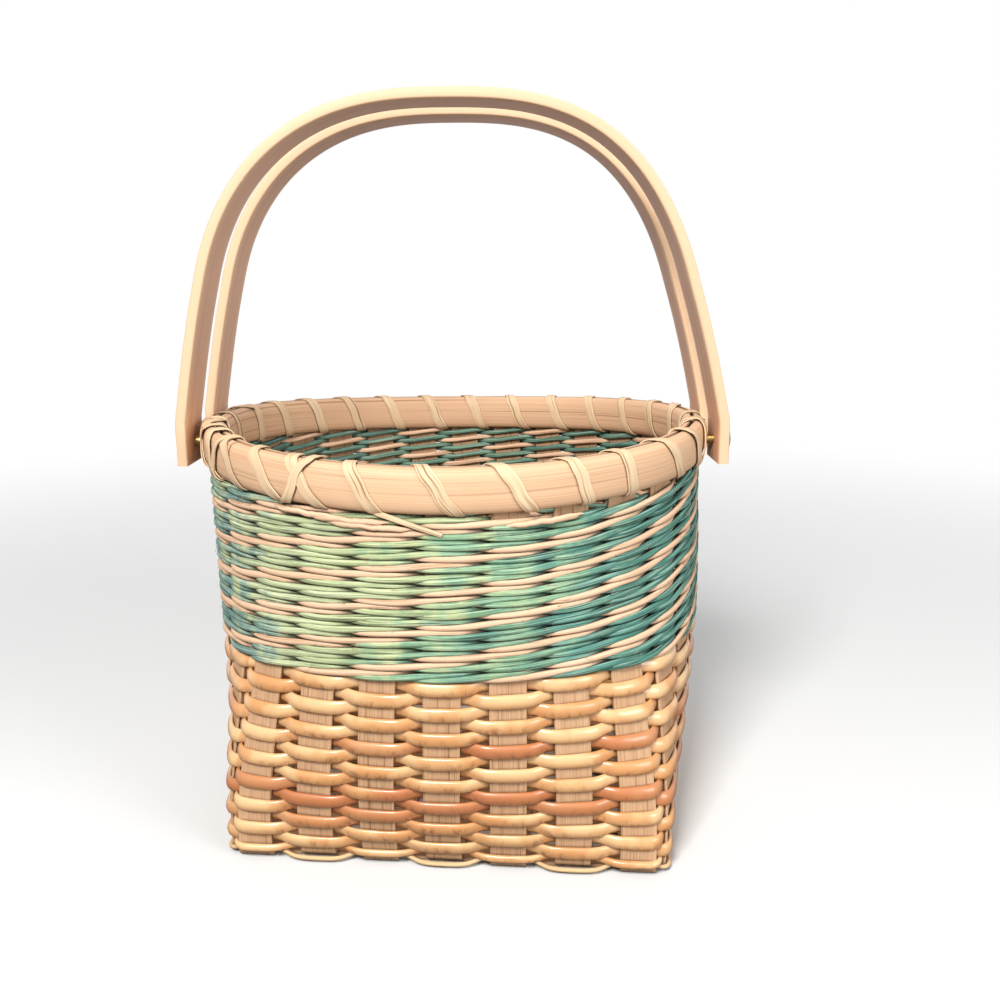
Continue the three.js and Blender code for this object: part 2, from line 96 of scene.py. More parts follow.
def bent(value: Array, power: float) -> Array:
    """Raises the size of a value to a power and keeps its sign: sign(v) |v|^p."""
    return np.sign(value) * np.abs(value) ** power


def wander(along: Array, seed: int, length: float, waves: int = 5) -> Array:
    """A hand's slow unevenness: a sum of sines with seeded phases, from about -1 to 1.

    Args:
        along: distances along the piece.
        seed: chooses the phases.
        length: the longest wave's length, in the unit of along.
        waves: how many sines are added, each shorter than the one before.

    Returns:
        One value for each distance.
    """
    phases = np.random.default_rng(seed).uniform(0, 2 * math.pi, waves)
    stretch = 1.6 ** np.arange(waves) / length
    turns = 2 * math.pi * np.asarray(along)[..., None] * stretch + phases
    return (np.sin(turns) / 1.25 ** np.arange(waves)).sum(-1) / 2.2


def weave(place: Array, flatness: float = 1.9) -> Array:
    """The swing of a strand past its crossings, tanh(k cos(pi p)) / tanh(k), which is flat over each.

    Args:
        place: places along the strand, counted in crossings.
        flatness: k.

    Returns:
        1 at even crossings and -1 at odd ones.
    """
    return np.tanh(flatness * np.cos(math.pi * place)) / math.tanh(flatness)


def polar(angle: Array | float, radius: Array | float, z: Array | float) -> Array:
    """Points or directions by their angle from the front: (r sin a, -r cos a, z).

    Args:
        angle: angles in radians.
        radius: distances from the middle.
        z: heights.

    Returns:
        The points, with the three broadcast together.
    """
    parts = np.broadcast_arrays(radius * np.sin(angle), -radius * np.cos(angle), z)
    return np.stack(parts, -1)


def rounded_section(half_width: float, half_height: float, power: float, count: int) -> Array:
    """A superellipse |x/a|^n + |y/b|^n = 1, drawn by x = a cos^(2/n), y = b sin^(2/n).

    Args:
        half_width: a, along the first coordinate.
        half_height: b, along the second.
        power: n, which is 2 for an ellipse and more for a squarer outline.
        count: how many points.

    Returns:
        The points, counter-clockwise.
    """
    turn = np.arange(count) / count * 2 * math.pi + math.pi / count
    x, y = bent(np.cos(turn), 2 / power), bent(np.sin(turn), 2 / power)
    return np.stack([half_width * x, half_height * y], 1)


def sweep(points: Array, first: Array, second: Array, section: Array) -> Array:
    """Carries a section along a line: p + x first + y second.

    Args:
        points: the line's points.
        first: the direction of the section's first coordinate at each point.
        second: the direction of its second coordinate.
        section: the section's points.

    Returns:
        A grid for Draft.add.
    """
    return points[:, None] + first[:, None] * section[:, :1] + second[:, None] * section[:, 1:]


def add_object(name: str, data: bpy.types.ID) -> Object:
    """Adds an object to the scene.

    Args:
        name: its name.
        data: its mesh, lamp or camera.

    Returns:
        The object, at the origin.
    """
    made = bpy.data.objects.new(name, data)
    bpy.context.scene.collection.objects.link(made)
    return made


class Draft:
    """A mesh that is being made out of grids of points, with one UV map and one tone value a point."""

    def __init__(self, name: str) -> None:
        """Starts an empty mesh.

        Args:
            name: the piece's name.
        """
        self.name = name
        self.points: list[Array] = []
        self.tones: list[Array] = []
        self.corners: list[Array] = []
        self.sizes: list[Array] = []
        self.uvs: list[Array] = []
        self.count = 0

    def add(
        self,
        grid: Array,
        tone: Array | float = 0.0,
        ring: bool = False,
        start: tuple[float, float] = (0.0, 0.0),
    ) -> None:
        """Adds a skin: sections of points, one after another along a path, each section closed on itself.

        A ring's last section joins its first, and other skins get a flat face at each end. The UV map is the
        distance along the path and round the section, in metres. A skin that has come out inside out, so that
        its volume by the divergence theorem is negative, has its faces turned.

        Args:
            grid: points, as sections by points of a section by three.
            tone: a value for each section, each point or the whole skin.
            ring: whether the path closes on itself.
            start: added to the UV map, so that like pieces don't look alike.
        """
        rows, cols = grid.shape[:2]
        steps = rows if ring else rows - 1
        i, j = (a.ravel() for a in np.meshgrid(np.arange(steps), np.arange(cols), indexing="ij"))
        i2, j2 = (i + 1) % rows, (j + 1) % cols
        quads = np.stack([i * cols + j, i2 * cols + j, i2 * cols + j2, i * cols + j2], 1)
        flat = grid.reshape(-1, 3)
        a, b, c, d = (flat[quads[:, k]] for k in range(4))
        volume = np.einsum("ij,ij->", a, np.cross(b, c)) + np.einsum("ij,ij->", a, np.cross(c, d))
        wrapped = np.concatenate([grid, grid[:1]]) if ring else grid
        paces = np.linalg.norm(np.diff(wrapped.mean(1), axis=0), axis=1)
        along = np.concatenate([[0], np.cumsum(paces)]) + start[0]
        round_it = np.linalg.norm(np.diff(np.concatenate([grid[0], grid[0, :1]]), axis=0), axis=1)
        across = np.concatenate([[0], np.cumsum(round_it)]) + start[1]
        places = along[np.stack([i, i + 1, i + 1, i], 1)], across[np.stack([j, j, j + 1, j + 1], 1)]
        uv = np.stack(places, -1)
        if volume < 0:
            quads, uv = quads[:, ::-1], uv[:, ::-1]
        self.corners.append(quads.ravel() + self.count)
        self.uvs.append(uv.reshape(-1, 2))
        self.sizes.append(np.full(len(quads), 4))
        if not ring:
            first, last = np.arange(cols), np.arange(cols) + (rows - 1) * cols
            for cap, turned in ((first, volume > 0), (last, volume < 0)):
                order = cap[::-1] if turned else cap
                self.corners.append(order + self.count)
                self.sizes.append(np.array([cols]))
                self.uvs.append(np.stack([np.full(cols, start[0]), across[order - cap.min()]], 1))
        self.points.append(flat)
        values = np.asarray(tone, float)
        values = values[:, None] if values.ndim == 1 else values
        self.tones.append(np.broadcast_to(values, (rows, cols)).ravel())
        self.count += len(flat)

    def finish(self, material: Material, sharp: float = 180.0) -> Object:
        """Makes the object.

        Args:
            material: its material.
            sharp: edges that turn by more than this many degrees stay sharp.

        Returns:
            The finished object, at the origin.
        """
        mesh = bpy.data.meshes.new(self.name)
        points, corners = np.concatenate(self.points), np.concatenate(self.corners)
        sizes, uvs = np.concatenate(self.sizes), np.concatenate(self.uvs)
        mesh.vertices.add(len(points))
        mesh.vertices.foreach_set("co", points.astype(np.float32).ravel())
        mesh.loops.add(len(corners))
        mesh.loops.foreach_set("vertex_index", corners.astype(np.int32))
        mesh.polygons.add(len(sizes))
        mesh.polygons.foreach_set("loop_start", (np.cumsum(sizes) - sizes).astype(np.int32))
        mesh.polygons.foreach_set("use_smooth", np.ones(len(sizes), bool))
        mesh.update(calc_edges=True)
        layer = mesh.uv_layers.new(name="UVMap")
        layer.data.foreach_set("uv", uvs.astype(np.float32).ravel())
        tone = mesh.attributes.new("tone", "FLOAT", "POINT")
        tone.data.foreach_set("value", np.concatenate(self.tones).astype(np.float32))
        if sharp < 180:
            mesh.set_sharp_from_angle(angle=math.radians(sharp))
        mesh.materials.append(material)
        mesh.validate()
        return add_object(self.name, mesh)


def place(piece: Object, body: str, slot: str, *nodes: str) -> None:
    """Lets a finished piece ride on its body in place of its frame nodes.

    Args:
        piece: the object.
        body: the body that it rides on.
        slot: the record's material slot; not used.
        nodes: the frame's nodes that it stands for.
    """
    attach(piece, body)
    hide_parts(*nodes)
    log.info("%s: %d faces on %s", piece.name, len(piece.data.polygons), body)


class Sheet:
    """A node tree that is written in short calls."""

    def __init__(self, tree: NodeTree) -> None:
        """Takes over a tree.

        Args:
            tree: the material's, the world's or the group's node tree.
        """
        self.tree = tree

    def node(self, kind: str, *links: object, **settings: object) -> Node:
        """Adds a node.

        Args:
            kind: the node's type name, without the leading ShaderNode.
            links: what goes into its first inputs: an output, a plain value, or None to leave one alone.
            settings: its properties.

        Returns:
            The node.
        """
        made = self.tree.nodes.new("ShaderNode" + kind)
        for name, value in settings.items():
            setattr(made, name, value)
        for socket, value in zip(made.inputs, links):
            self.feed(socket, value)
        return made

    def feed(self, socket: NodeSocket, value: object) -> None:
        """Links an output to an input, or sets the input's value.

        Args:
            socket: the input.
            value: the output, a plain value, or None to leave the input alone.
        """
        if isinstance(value, NodeSocket):
            self.tree.links.new(value, socket)
        elif value is not None:
            socket.default_value = value

    def feed_all(self, node: Node, values: dict[str, object]) -> None:
        """Feeds a node's inputs by their names."""
        for name, value in values.items():
            self.feed(node.inputs[name], value)

    def math(self, operation: str, *links: object) -> NodeSocket:
        """Adds a Math node and returns its output."""
        return self.node("Math", *links, operation=operation).outputs[0]

    def fade(self, value: object, low: float, high: float, start: float = 0, end: float = 1) -> NodeSocket:
        """Maps a value smoothly, low to start and high to end, and returns the output."""
        return self.node("MapRange", value, low, high, start, end, interpolation_type="SMOOTHSTEP").outputs[0]

    def noise(self, vector: object, scale: float, detail: float, rough: float) -> NodeSocket:
        """Adds a 3-D noise texture.

        Args:
            vector: where it is read.
            scale: its waves in a unit of the vector.
            detail: how many finer waves it has.
            rough: how strong the finer waves are.

        Returns:
            Its value.
        """
        made = self.node("TexNoise", vector)
        self.feed_all(made, {"Scale": scale, "Detail": detail, "Roughness": rough})
        return made.outputs[0]

    def blend(self, share: object, first: object, second: object, kind: str = "MIX") -> NodeSocket:
        """Mixes two colours.

        Args:
            share: the part of the second one.
            first: a colour.
            second: a colour.
            kind: how they are mixed.

        Returns:
            The mixed colour's output.
        """
        made = self.node("Mix", data_type="RGBA", blend_type=kind)
        for socket, value in zip([made.inputs[0], made.inputs[6], made.inputs[7]], (share, first, second)):
            self.feed(socket, value)
        return made.outputs[2]

    def tone(self) -> NodeSocket:
        """Reads the piece's tone attribute and returns its value."""
        return self.node("Attribute", attribute_name="tone", attribute_type="GEOMETRY").outputs["Fac"]

    def stretched(self, vector: object, along: object, across: object, layer: float) -> NodeSocket:
        """Scales a vector for noise by its own amount each way.

        Args:
            vector: the vector's output.
            along: the factor of its first part.
            across: the factor of its second part.
            layer: its third part, which sets one noise apart from another.

        Returns:
            The scaled vector.
        """
        parts = self.node("SeparateXYZ", vector).outputs
        u, v = self.math("MULTIPLY", parts[0], along), self.math("MULTIPLY", parts[1], across)
        return self.node("CombineXYZ", u, v, layer).outputs[0]

    def paint_crevice_shade(self, colour: NodeSocket, depth: float) -> NodeSocket:
        """Paints shade into a colour: darkens it in the crevices that ambient occlusion finds.

        Args:
            colour: the colour's output.
            depth: the part of the colour that the deepest crevices lose to the painted shade.

        Returns:
            The darkened colour.
        """
        # Painted shade: ambient occlusion darkens the colour in hollows.
        hollow = self.node("AmbientOcclusion", None, PAINTED_SHADE_REACH, samples=PAINTED_SHADE_RAYS)
        kept = self.fade(hollow.outputs["AO"], *PAINTED_SHADE_SPAN, 1 - depth, 1.0)
        return self.blend(1.0, colour, kept, "MULTIPLY")

    def bump(self, shader: Node, height: NodeSocket, strength: float, depth: float) -> None:
        """Roughens a shader's surface.

        Args:
            shader: the shader.
            height: the height's output.
            strength: the bump's strength.
            depth: how high a height of 1 stands, in metres.
        """
        made = self.node("Bump")
        self.feed_all(made, {"Strength": strength, "Distance": depth, "Height": height})
        self.feed(shader.inputs["Normal"], made.outputs[0])

    def seen(self) -> NodeSocket:
        """Tells what is seen from the light that falls on things.

        Returns:
            An output that is 1 for what the camera, gloss and glass see, and 0 otherwise.
        """
        path = self.node("LightPath").outputs
        direct = self.math("MAXIMUM", path["Is Camera Ray"], path["Is Transmission Ray"])
        return self.math("MAXIMUM", direct, path["Is Glossy Ray"])


class Socket(Enum):
    """The kinds of socket that a shared group has."""

    COLOUR = "NodeSocketColor"
    NUMBER = "NodeSocketFloat"


def new_group(name: str, inputs: dict[str, Socket], outputs: dict[str, Socket]) -> tuple[Sheet, Node, Node]:
    """Starts a shared shader group.

    Args:
        name: its name.
        inputs: its input sockets by name.
        outputs: its output sockets by name.

    Returns:
        The sheet to write on, the group's input node and its output node.
    """
    tree = bpy.data.node_groups.new(name, "ShaderNodeTree")
    for way, sockets in (("INPUT", inputs), ("OUTPUT", outputs)):
        for label, kind in sockets.items():
            tree.interface.new_socket(label, in_out=way, socket_type=kind.value)
    return Sheet(tree), tree.nodes.new("NodeGroupInput"), tree.nodes.new("NodeGroupOutput")


def new_material(name: str) -> tuple[Material, Sheet, Node]:
    """Starts a material.

    Args:
        name: its name.

    Returns:
        The material, the sheet to write on and its shader.
    """
    material = bpy.data.materials.new(name)
    material.use_nodes = True
    return material, Sheet(material.node_tree), material.node_tree.nodes["Principled BSDF"]


def fibre_group() -> NodeTree:
    """Split reed and wood: fibres along the piece, with dark hairlines and slow patches.

    The fibres are noise on the UV map, stretched along u, at Lines waves a metre across and Stretch waves a
    metre along. Hairlines are the same noise at a third of that, cut off high. Patches are noise in space.

    Returns:
        The group, which puts out Color, Height and Fibre.
    """
    inputs = dict.fromkeys(("Pale", "Deep", "Line"), Socket.COLOUR)
    inputs |= dict.fromkeys(("Lines", "Stretch", "Hairlines", "Patches"), Socket.NUMBER)
    outputs = {"Color": Socket.COLOUR, "Height": Socket.NUMBER, "Fibre": Socket.NUMBER}
    sheet, into, out = new_group("reed_fibre", inputs, outputs)
    pale, deep, line, lines, stretch, hairlines, patches = (into.outputs[name] for name in inputs)
    coords = sheet.node("TexCoord").outputs
    strands = sheet.stretched(coords["UV"], stretch, lines, 0.0)
    fine = sheet.noise(strands, 1.0, 3.0, 0.6)
    hair = sheet.noise(sheet.stretched(strands, 0.6, 0.34, 4.7), 1.0, 2.0, 0.75)
    slow = sheet.noise(coords["Object"], 38.0, 2.0, 0.5)
    body = sheet.blend(sheet.fade(fine, 0.3, 0.72), pale, deep)
    body = sheet.blend(sheet.math("MULTIPLY", sheet.fade(slow, 0.42, 0.72), patches), body, deep)
    mask = sheet.math("MULTIPLY", sheet.fade(hair, 0.57, 0.68), hairlines)
    height = sheet.math("SUBTRACT", fine, sheet.math("MULTIPLY", mask, 0.8))
    sheet.feed_all(out, {"Color": sheet.blend(mask, body, line), "Height": height, "Fibre": fine})
    return out.id_data


def cane_group() -> NodeTree:
    """Glossy cane skin: honey with browner stretches, mottled along its lower edge.

    Tone comes from the piece's own attribute: 0 is honey and 1 is orange-brown. Where the surface faces down,
    the colour turns amber, partly the cane's own darker edge and partly painted shade. Mottling is noise on
    the UV map, short along the strand, and shows most where the surface looks down.

    Returns:
        The group, which puts out Color, Height and Shine.
    """
    inputs = dict.fromkeys(("Honey", "Amber", "Brown", "Speck"), Socket.COLOUR)
    outputs = {"Color": Socket.COLOUR, "Height": Socket.NUMBER, "Shine": Socket.NUMBER}
    sheet, into, out = new_group("cane_skin", inputs, outputs)
    honey, amber, brown, speck = (into.outputs[name] for name in inputs)
    uv = sheet.node("TexCoord").outputs["UV"]
    down = sheet.node("SeparateXYZ", sheet.node("NewGeometry").outputs["Normal"]).outputs[2]
    slow = sheet.noise(uv, 40.0, 3.0, 0.6)
    body = sheet.blend(sheet.fade(slow, 0.4, 0.6), honey, amber)
    # Partly painted shade: the colour turns amber where the surface faces down.
    body = sheet.blend(sheet.fade(down, 0.15, -0.75, 0.0, 0.65), body, amber)
    body = sheet.blend(sheet.tone(), body, brown)
    dots = sheet.noise(sheet.stretched(uv, 420.0, 190.0, 2.0), 1.0, 3.0, 0.65)
    where = sheet.math("MULTIPLY", sheet.fade(down, 0.3, -0.5), sheet.fade(slow, 0.36, 0.54))
    mask = sheet.math("MULTIPLY", sheet.fade(dots, 0.48, 0.66), where)
    colour = sheet.blend(sheet.math("MULTIPLY", mask, 0.75), body, speck)
    streaks = sheet.noise(sheet.stretched(uv, 40.0, 1500.0, 1.0), 1.0, 2.0, 0.5)
    shine = sheet.math("ADD", slow, sheet.math("MULTIPLY", mask, 0.6))
    sheet.feed_all(out, {"Color": colour, "Height": streaks, "Shine": shine})
    return out.id_data


@dataclass(frozen=True)
class FibreFinish:
    """The finish of split reed or wood. Colours are screen colours, and lines are counted in a metre."""

    name: str
    pale: str
    deep: str
    line: str
    lines: float
    stretch: float = 30.0
    hairlines: float = 0.5
    patches: float = 0.3
    roughness: float = 0.62
    bump: float = 0.25
    # How much painted shade darkens the crevices.
    crevice_shade: float = 0.5
    depth: float = 0.12 * MM
    gloss: float = 0.4
    rough_spread: tuple[float, float] = (0.07, 0.09)

    def colour(self, sheet: Sheet, fibre: Node) -> NodeSocket:
        """Gives the surface colour, which is the group's own unless a finish adds to it.

        Args:
            sheet: the material's sheet; not used here.
            fibre: the fibre group's node.

        Returns:
            The colour's output.
        """
        return fibre.outputs["Color"]

    def make(self, groups: dict[str, NodeTree]) -> Material:
        """Makes the material.

        Args:
            groups: the shared groups by name.

        Returns:
            The material.
        """
        material, sheet, shader = new_material(self.name)
        fibre = sheet.node(
            "Group", linear(self.pale), linear(self.deep), linear(self.line), self.lines, self.stretch,
            self.hairlines, self.patches, node_tree=groups["reed_fibre"],
        )
        below, above = self.rough_spread
        low, high = self.roughness - below, self.roughness + above
        rough = sheet.fade(fibre.outputs["Fibre"], 0.3, 0.7, low, high)
        # Painted shade in the crevices, laid over the fibre colour.
        colour = sheet.paint_crevice_shade(self.colour(sheet, fibre), self.crevice_shade)
        sheet.feed_all(shader, {"Base Color": colour, "Roughness": rough, "Specular IOR Level": self.gloss})
        sheet.bump(shader, fibre.outputs["Height"], self.bump, self.depth)
        return material


@dataclass(frozen=True)
class DyedFinish(FibreFinish):
    """Round reed in a space dye: the tone attribute picks the colour along a row of dye colours."""

    dyes: tuple[tuple[float, str], ...] = ()
    core: str = "E3E2CC"
    bare: float = 0.34
    uneven: float = 0.035
    worn: float = 0.4

    def colour(self, sheet: Sheet, fibre: Node) -> NodeSocket:
        """Lays the dye over the reed's own fibres.

        Args:
            sheet: the material's sheet.
            fibre: the fibre group's node.

        Returns:
            The colour's output.
        """
        coords = sheet.node("TexCoord").outputs
        cloudy = sheet.noise(coords["Object"], 90.0, 3.0, 0.6)
        moved = sheet.math("ADD", sheet.tone(), sheet.fade(cloudy, 0.3, 0.7, -self.uneven, self.uneven))
        ramp = sheet.node("ValToRGB", sheet.math("FRACT", moved))
        stops = ramp.color_ramp.elements
        while len(stops) < len(self.dyes):
            stops.new(0.5)
        for stop, (spot, code) in zip(stops, self.dyes):
            stop.position = spot
            stop.color = linear(code)
        dyed = sheet.blend(1.0, ramp.outputs[0], fibre.outputs["Color"], "MULTIPLY")
        worn = sheet.fade(sheet.noise(coords["UV"], 160.0, 3.0, 0.7), 0.5, 0.78, 0.0, self.worn)
        dyed = sheet.blend(worn, dyed, ramp.outputs[0])
        light = sheet.fade(fibre.outputs["Fibre"], 0.52, 0.36, 0.0, self.bare)
        return sheet.blend(light, dyed, linear(self.core))


@dataclass(frozen=True)
class HighlitEdgeFinish(FibreFinish):
    """Bent wood whose narrow edges, where the tone attribute is 1, are painted paler as a highlight."""

    # The colour of the painted highlight on the narrow edges.
    edge: str = "FFFFFF"

    def colour(self, sheet: Sheet, fibre: Node) -> NodeSocket:
        """Paints a highlight on the edges: pales them.

        Args:
            sheet: the material's sheet.
            fibre: the fibre group's node.

        Returns:
            The colour's output.
        """
        share = sheet.fade(sheet.tone(), 0.2, 0.9, 0.0, 0.8)
        return sheet.blend(share, fibre.outputs["Color"], linear(self.edge))


@dataclass(frozen=True)
class CaneFinish:
    """The finish of glossy half-round cane."""

    name: str = "cane"
    honey: str = "ECC08A"
    amber: str = "D99A60"
    brown: str = "C47A4A"
    speck: str = "8F5C38"
    coat: float = 0.55
    coat_roughness: float = 0.16
    # How much painted shade darkens the crevices.
    crevice_shade: float = 0.45
    bump: float = 0.12
    depth: float = 0.1 * MM

    def make(self, groups: dict[str, NodeTree]) -> Material:
        """Makes the material.

        Args:
            groups: the shared groups by name.

        Returns:
            The material.
        """
        material, sheet, shader = new_material(self.name)
        colours = (linear(code) for code in (self.honey, self.amber, self.brown, self.speck))
        skin = sheet.node("Group", *colours, node_tree=groups["cane_skin"])
        # The base colour gets painted shade in the crevices.
        sheet.feed_all(shader, {
            "Base Color": sheet.paint_crevice_shade(skin.outputs["Color"], self.crevice_shade),
            "Roughness": sheet.fade(skin.outputs["Shine"], 0.3, 1.0, 0.3, 0.5),
            "Coat Weight": self.coat,
            "Coat Roughness": self.coat_roughness,
        })
        sheet.bump(shader, skin.outputs["Height"], self.bump, self.depth)
        return material


@dataclass(frozen=True)
class BrassFinish:
    """The finish of the bolts: tarnished brass, brighter where it is rubbed."""

    name: str = "brass"
    bright: str = "B79A5C"
    dull: str = "6E5A35"
    bump: float = 0.1
    depth: float = 0.1 * MM

    def make(self) -> Material:
        """Makes the material.

        Returns:
            The material.
        """
        material, sheet, shader = new_material(self.name)
        tarnish = sheet.noise(sheet.node("TexCoord").outputs["Object"], 520.0, 4.0, 0.65)
        colour = sheet.blend(sheet.fade(tarnish, 0.38, 0.64), linear(self.bright), linear(self.dull))
        rough = sheet.fade(tarnish, 0.3, 0.7, 0.24, 0.46)
        sheet.feed_all(shader, {"Base Color": colour, "Roughness": rough, "Metallic": 1.0})
        sheet.bump(shader, tarnish, self.bump, self.depth)
        return material


@dataclass(frozen=True)
class Wall:
    """The middle surface of the stakes: a turned square at the foot that becomes a circle at the rim.

    The foot's outline is straight across the stakes, with an arc at each corner, and the rim's is a circle.
    With l for what is left of the climb, a place is blended between the two by 1 - l^rounding, the outline's
    size goes from the rim's to the foot's by l^opening, and the foot's turn and shift are left by l.
    """

    half: float = 78.5 * MM
    corner: float = 6.0 * MM
    pitch: float = 23.0 * MM
    side_stakes: int = 7
    rim: float = 93.5 * MM
    foot: float = 4.95 * MM
    round_height: float = 130.0 * MM
    opening: float = 3.3
    rounding: float = 2.1
    turn: float = math.radians(-5.2)
    shift: float = 4.0 * MM
    rise: float = 4.7 * MM
    wale_bottom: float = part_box("wale")[0].z
    wale_top: float = 132.1 * MM

    @property
    def stakes(self) -> int:
        """Counts the stakes round the wall."""
        return 4 * self.side_stakes

    @property
    def middle(self) -> float:
        """The number of a side's middle stake, counted from the side's first."""
        return (self.side_stakes - 1) / 2

    @property
    def step(self) -> float:
        """Angle from a stake to the next at the rim, in radians."""
        return 2 * math.pi / self.stakes

    def bearing(self, q: Array) -> Array:
        """Angle of a place at the rim, from the front, in radians."""
        return (np.asarray(q, float) - self.middle) * self.step

    def left(self, z: Array) -> Array:
        """What is left of the climb, from 1 at the wall's foot to 0 where it has become round."""
        return 1 - np.clip((np.asarray(z) - self.foot) / (self.round_height - self.foot), 0, 1)

    def roundness(self, z: Array) -> Array:
        """How far the wall has gone from square, 0, to round, 1, at a height."""
        return 1 - self.left(z) ** self.rounding

    def in_wale(self, z: Array) -> Array:
        """A height as a share of the wale's, 0 at its bottom and 1 at its top."""
        return (z - self.wale_bottom) / (self.wale_top - self.wale_bottom)

    def fan(self, z: Array, q: Array) -> Array:
        """Raises a height towards the handles: in full over the wale's top, and not at all below the wale.

        The raise is rise times the square of the sine of the bearing.

        Args:
            z: heights at the front.
            q: places along the wall.

        Returns:
            The raised heights.
        """
        return z + self.rise * np.sin(self.bearing(q)) ** 2 * np.clip(self.in_wale(z), 0, 1)

    def at(self, q: Array, z: Array) -> Array:
        """Gives the surface's points.

        Args:
            q: places along the wall.
            z: heights, which are used as they are.

        Returns:
            Points, with q and z broadcast together.
        """
        q, z = np.broadcast_arrays(np.asarray(q, float), np.asarray(z, float))
        side = np.floor((q + 0.5) / self.side_stakes)
        spot = q - side * self.side_stakes - self.middle
        run = self.half - self.corner - self.middle * self.pitch
        whole = run + self.corner * math.pi / 4
        past = np.clip((np.abs(spot) - self.middle) * 2, 0, 1) * whole
        arc = np.clip(past - run, 0, None) / self.corner
        straight = np.minimum(np.abs(spot), self.middle) * self.pitch + np.minimum(past, run)
        x = np.sign(spot) * (straight + self.corner * np.sin(arc))
        square = np.stack([x, -(self.half - self.corner * (1 - np.cos(arc)))], -1)
        circle = polar(spot * self.step, self.half, 0.0)[..., :2]
        share, left = self.roundness(z)[..., None], self.left(z)
        size = (self.rim + (self.half - self.rim) * left**self.opening) / self.half
        flat = (square * (1 - share) + circle * share) * size[..., None]
        turned = side * math.pi / 2 + self.turn * left
        cos, sin = np.cos(turned), np.sin(turned)
        x, y = flat[..., 0] * cos - flat[..., 1] * sin, flat[..., 0] * sin + flat[..., 1] * cos
        return np.stack([x + self.shift * left, y, z], -1)

    def outward(self, q: Array, z: Array) -> Array:
        """Level unit vectors square to the wall, out of the basket, from the difference of two near places.

        Args:
            q: places along the wall.
            z: heights.

        Returns:
            The unit vectors.
        """
        near = 0.06
        ahead = self.at(q + near, z) - self.at(q - near, z)
        return unit(np.stack([ahead[..., 1], -ahead[..., 0], np.zeros_like(ahead[..., 0])], -1))

    def strand(self, q: Array, z: Array, depth: Array, section: Array) -> Array:
        """Carries a section along the wall.

        Args:
            q: places along the strand.
            z: the strand's heights there, before the fan.
            depth: its middle's distance outside the wall's middle surface.
            section: points of the section, as distance outwards and upwards, one set or one for each place.

        Returns:
            A grid for Draft.add.
        """
        section = np.broadcast_to(section, (len(q), *section.shape[-2:]))
        base = self.at(q[:, None], self.fan(z[:, None] + section[..., 1], q[:, None]))
        return base + self.outward(q, z)[:, None, :] * (depth[:, None] + section[..., 0])[..., None]


@dataclass(frozen=True)
class Fits:
    """Sizes that several sub-assemblies share. Low and high are the levels of the strips in the base."""

    strip_width: float = 12.7 * MM
    strip_thickness: float = 1.1 * MM
    gap: float = 0.3 * MM
    low: float = 0.55 * MM
    high: float = 1.95 * MM
    bend: float = 3.0 * MM

    @property
    def seat(self) -> float:
        """How far from the stakes' middle surface the back of a strand or band lies."""
        return self.strip_thickness / 2 + self.gap


